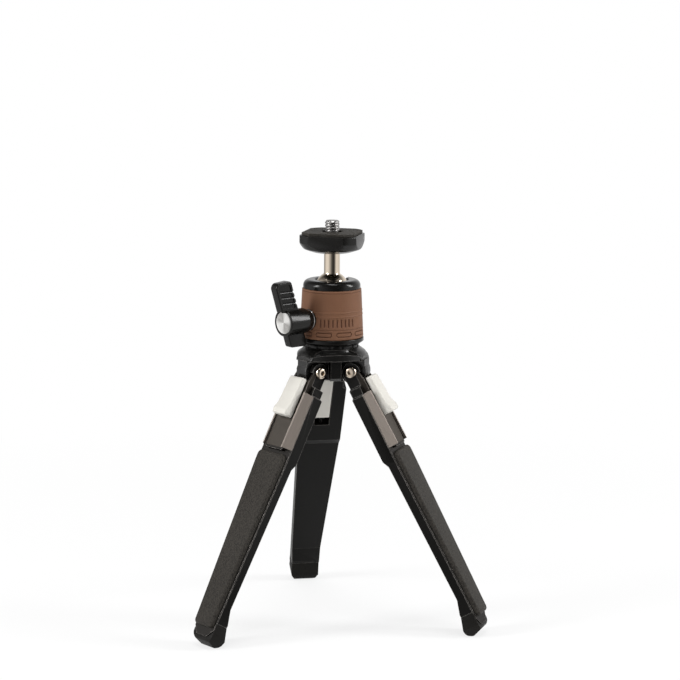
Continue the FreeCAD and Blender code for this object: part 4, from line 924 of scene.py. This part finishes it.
makeBoots()

hingePin = {
    "steps": 64, "shank": 1.75, "seat": 5.75, "end": 7.5, "head": 2.7, "crown": 1.4,
    "wall": 6.1, "domeSteps": 5, "socket": 1.2, "socketDeep": 1.5,
}


def makeHingePins():
    end, head, crown, wall = hingePin["end"], hingePin["head"], hingePin["crown"], hingePin["wall"]
    half = [(hingePin["shank"], hingePin["seat"]), (head, hingePin["seat"]), (head, wall)]
    for k in range(1, hingePin["domeSteps"] + 1):
        sweep = math.radians(90 * k / hingePin["domeSteps"])
        half.append((crown + (head - crown) * math.cos(sweep),
                     wall + (end - wall) * math.sin(sweep)))
    half.append((0, end))
    outline = [(radius, -place) for radius, place in reversed(half)] + half
    piece = turned("hingePin", outline, hingePin["steps"], "Y")
    floor = end - hingePin["socketDeep"]
    for low, high in ((floor, end + 1), (-end - 1, -floor)):
        combine(piece, bar("socket", hingePin["socket"], low, high, "Y", sides=6))
    copyToLegs(piece, "leg", materials["chrome"], "hinge_pin")


makeHingePins()
print("leg pieces made")


# CAD nodes that keep their shape, with the edges sharper than this rounded a little

keptAngle = 35


def dressNode(name, material, edgeWidth, segments):
    node = nodes[name]
    node.data.materials.clear()
    node.data.materials.append(material)
    if edgeWidth:
        weld = node.modifiers.new("join faces", "WELD")
        weld.merge_threshold = weldGap
        bevel = node.modifiers.new("rounded edges", "BEVEL")
        bevel.width = edgeWidth * mm
        bevel.segments = segments
        bevel.limit_method = "ANGLE"
        bevel.angle_limit = math.radians(keptAngle)
        bevel.harden_normals = True


keptNodes = {  # material, edge rounding in mm, segments
    "plate_pad": ("padRubber", 0.1, 1), "head_housing": ("blackMetal", 0, 0),
    "ball_cup": ("blackPlastic", 0, 0), "thrust_pin": ("steel", 0, 0),
    "clamp_screw": ("steel", 0, 0), "lever_washer": ("steel", 0.06, 1),
    "lock_ring": ("blackMetal", 0.12, 2), "head_stud": ("steel", 0.1, 1),
    "crown": ("blackCast", 0.35, 3),
}
keptLegNodes = {"leg_core": ("blackLeg", 0.3, 2), "latch_spring": ("steel", 0, 0)}
legShell = {"edge": 0.15, "segments": 2}
for name, (look, width, segments) in keptNodes.items():
    dressNode(name, materials[look], width, segments)
for side in legAzimuths:
    for name, (look, width, segments) in keptLegNodes.items():
        dressNode(f"{name}_{side}", materials[look], width, segments)
    dressNode(f"leg_shell_{side}", gunmetal[side], legShell["edge"], legShell["segments"])
print("kept nodes dressed")


# Stage: floor, world, lights and camera, in metres

floorLook = {
    "size": 6.0, "light": (0.84, 0.84, 0.84, 1), "dark": (0.80, 0.80, 0.80, 1), "rough": 0.9,
    "specular": 0.1, "patches": 12.0, "near": 0.08, "far": 0.42, "nearWhite": 0.75,
    "below": 0.0002,
}
cameraView = {
    "azimuth": -100.5, "elevation": 9.69, "distance": 1.0392, "roll": 0.44,
    "focalPixels": 2358.97, "imagePixels": 680, "centreX": 331.41, "centreY": 339.65,
    "aimHeight": 0.12683, "filmWidth": 36.0, "nearest": 0.01, "farthest": 20.0,
}
studio = {
    "fill": 0.42, "dimSpan": (0.30, 0.75), "overhead": 0.22, "lightAim": (0, 0, -0.06),
    "tones": [  # angle to the right of the camera, and how bright the room is there
        (-180, 0.95), (-150, 0.5), (-130, 0.26), (-114, 0.6), (-100, 0.9), (-75, 1.0),
        (-50, 0.95), (-35, 0.6), (-20, 0.4), (-4, 0.12), (15, 0.04), (32, 0.05), (46, 0.3),
        (60, 0.95), (85, 1.0), (110, 0.85), (135, 0.9), (180, 0.95),
    ],
}


def makeRoomGroup():  # a room of light and dark walls for polished metal to reflect
    group, source, sink = newGroup(
        "roomTones", [("Vector", "NodeSocketVector", None)], [("Color", "NodeSocketColor")])
    turn = addNode(group, "ShaderNodeVectorRotate", {
        "Vector": source.outputs["Vector"], "Axis": (0, 0, 1),
        "Angle": math.pi / 2 - math.radians(cameraView["azimuth"])})
    apart = addNode(group, "ShaderNodeSeparateXYZ", {0: turn.outputs["Vector"]})
    side = addNode(group, "ShaderNodeMath", {
        0: apart.outputs["X"], 1: apart.outputs["Y"]}, operation="ARCTAN2")
    share = remap(group, side.outputs[0], (math.pi, -math.pi))
    ramp = addNode(group, "ShaderNodeValToRGB", {"Fac": share})
    stops = ramp.color_ramp.elements
    first, *inner, last = studio["tones"]
    for angle, tone in inner:
        stops.new((angle + 180) / 360).color = (tone, tone, tone, 1)
    for stop, (angle, tone) in ((stops[0], first), (stops[len(stops) - 1], last)):
        stop.color = (tone, tone, tone, 1)
    upward = remap(group, apart.outputs["Z"], studio["dimSpan"], (1.0, studio["overhead"]),
                   interpolation_type="SMOOTHSTEP")
    toned = addNode(group, "ShaderNodeVectorMath", {
        0: ramp.outputs["Color"], "Scale": upward}, operation="SCALE")
    setInputs(group, sink, {"Color": toned.outputs["Vector"]})
    return group


roomGroup = makeRoomGroup()


def seenColor(tree, vector):  # the camera sees white, and reflections see the room's tones
    room = addNode(tree, "ShaderNodeGroup", {"Vector": vector}, node_tree=roomGroup)
    path = addNode(tree, "ShaderNodeLightPath")
    return mixColor(tree, path.outputs["Is Camera Ray"], room.outputs["Color"], (1, 1, 1, 1))


def lightPathMask(tree):  # 1 for what the camera sees directly, in a mirror or through glass
    path = addNode(tree, "ShaderNodeLightPath")
    both = addNode(tree, "ShaderNodeMath", {
        0: path.outputs["Is Camera Ray"], 1: path.outputs["Is Glossy Ray"]}, operation="MAXIMUM")
    node = addNode(tree, "ShaderNodeMath", {
        0: both.outputs[0], 1: path.outputs["Is Transmission Ray"]}, operation="MAXIMUM")
    return node.outputs[0]


def mixShaders(tree, share, first, second):
    mix = addNode(tree, "ShaderNodeMixShader", {
        0: share, 1: first.outputs[0], 2: second.outputs[0]})
    return mix.outputs[0]


def makeFloor():
    startClean()
    bpy.ops.mesh.primitive_plane_add(
        size=floorLook["size"], location=(0, 0, floorZ - floorLook["below"]))
    floor = bpy.context.object
    floor.name = "floor"
    material, tree, shader = newMaterial("pale floor")
    place = objectPlace(tree)
    patches = noise(tree, place, floorLook["patches"], detail=2.0)
    setInputs(tree, shader, {
        "Base Color": mixColor(tree, patches, floorLook["dark"], floorLook["light"]),
        "Roughness": floorLook["rough"], "Specular IOR Level": floorLook["specular"]})
    away = addNode(tree, "ShaderNodeVectorMath", {0: place}, operation="LENGTH")
    white = remap(tree, away.outputs["Value"], (floorLook["near"], floorLook["far"]),
                  (floorLook["nearWhite"], 1.0))
    glow = addNode(tree, "ShaderNodeEmission", {"Color": seenColor(tree, place), "Strength": 1.0})
    both = mixShaders(tree, multiply(tree, white, lightPathMask(tree)), shader, glow)
    setInputs(tree, tree.nodes["Material Output"], {"Surface": both})
    floor.data.materials.append(material)


def makeWorld():
    world = bpy.data.worlds.new("studio")
    bpy.context.scene.world = world
    world.use_nodes = True
    tree = world.node_tree
    tree.nodes.clear()
    place = addNode(tree, "ShaderNodeTexCoord")
    color = seenColor(tree, place.outputs["Generated"])
    seen = addNode(tree, "ShaderNodeBackground", {"Color": color, "Strength": 1.0})
    lit = addNode(tree, "ShaderNodeBackground", {
        "Color": (1, 1, 1, 1), "Strength": studio["fill"]})
    both = mixShaders(tree, lightPathMask(tree), lit, seen)
    addNode(tree, "ShaderNodeOutputWorld", {"Surface": both})


def directionOf(azimuth, elevation):  # in degrees, from the stand outwards
    turn, lift = math.radians(azimuth), math.radians(elevation)
    return Vector((math.cos(turn) * math.cos(lift), math.sin(turn) * math.cos(lift),
                   math.sin(lift)))


def addSoftbox(name, azimuth, elevation, distance, size, power):
    offset = directionOf(azimuth, elevation)
    data = bpy.data.lights.new(name, "AREA")
    data.shape = "RECTANGLE"
    data.size, data.size_y = size
    data.energy = power
    lamp = bpy.data.objects.new(name, data)
    lamp.location = Vector(studio["lightAim"]) + offset * distance
    lamp.rotation_euler = (-offset).to_track_quat("-Z", "Y").to_euler()
    bpy.context.scene.collection.objects.link(lamp)


softboxes = [  # name, azimuth, elevation, distance, size, power
    ("left softbox", 192, 25, 1.1, (0.22, 0.7), 8.2),
    ("right softbox", -15, 28, 1.1, (0.22, 0.7), 8.0),
    ("top softbox", -90, 80, 1.2, (0.4, 0.4), 5.0),
]


def makeCamera(view):
    offset = directionOf(view["azimuth"], view["elevation"])
    forward = -offset
    right = forward.cross(Vector((0, 0, 1))).normalized()
    up = right.cross(forward)
    roll = math.radians(view["roll"])
    rolledRight = right * math.cos(roll) + up * math.sin(roll)
    rolledUp = up * math.cos(roll) - right * math.sin(roll)
    pose = Matrix((rolledRight, rolledUp, -forward)).transposed().to_4x4()
    pose.translation = Vector((0, 0, floorZ + view["aimHeight"])) + offset * view["distance"]
    pixels = view["imagePixels"]
    data = bpy.data.cameras.new("camera")
    data.sensor_fit = "HORIZONTAL"
    data.sensor_width = view["filmWidth"]
    data.lens = view["filmWidth"] * view["focalPixels"] / pixels
    data.shift_x = (pixels / 2 - view["centreX"]) / pixels
    data.shift_y = (view["centreY"] - pixels / 2) / pixels
    data.clip_start = view["nearest"]
    data.clip_end = view["farthest"]
    camera = bpy.data.objects.new("camera", data)
    camera.matrix_world = pose
    bpy.context.scene.collection.objects.link(camera)
    bpy.context.scene.camera = camera


makeFloor()
makeWorld()
for softbox in softboxes:
    addSoftbox(*softbox)
makeCamera(cameraView)
bpy.context.scene.view_settings.view_transform = "Standard"
print("stage made")
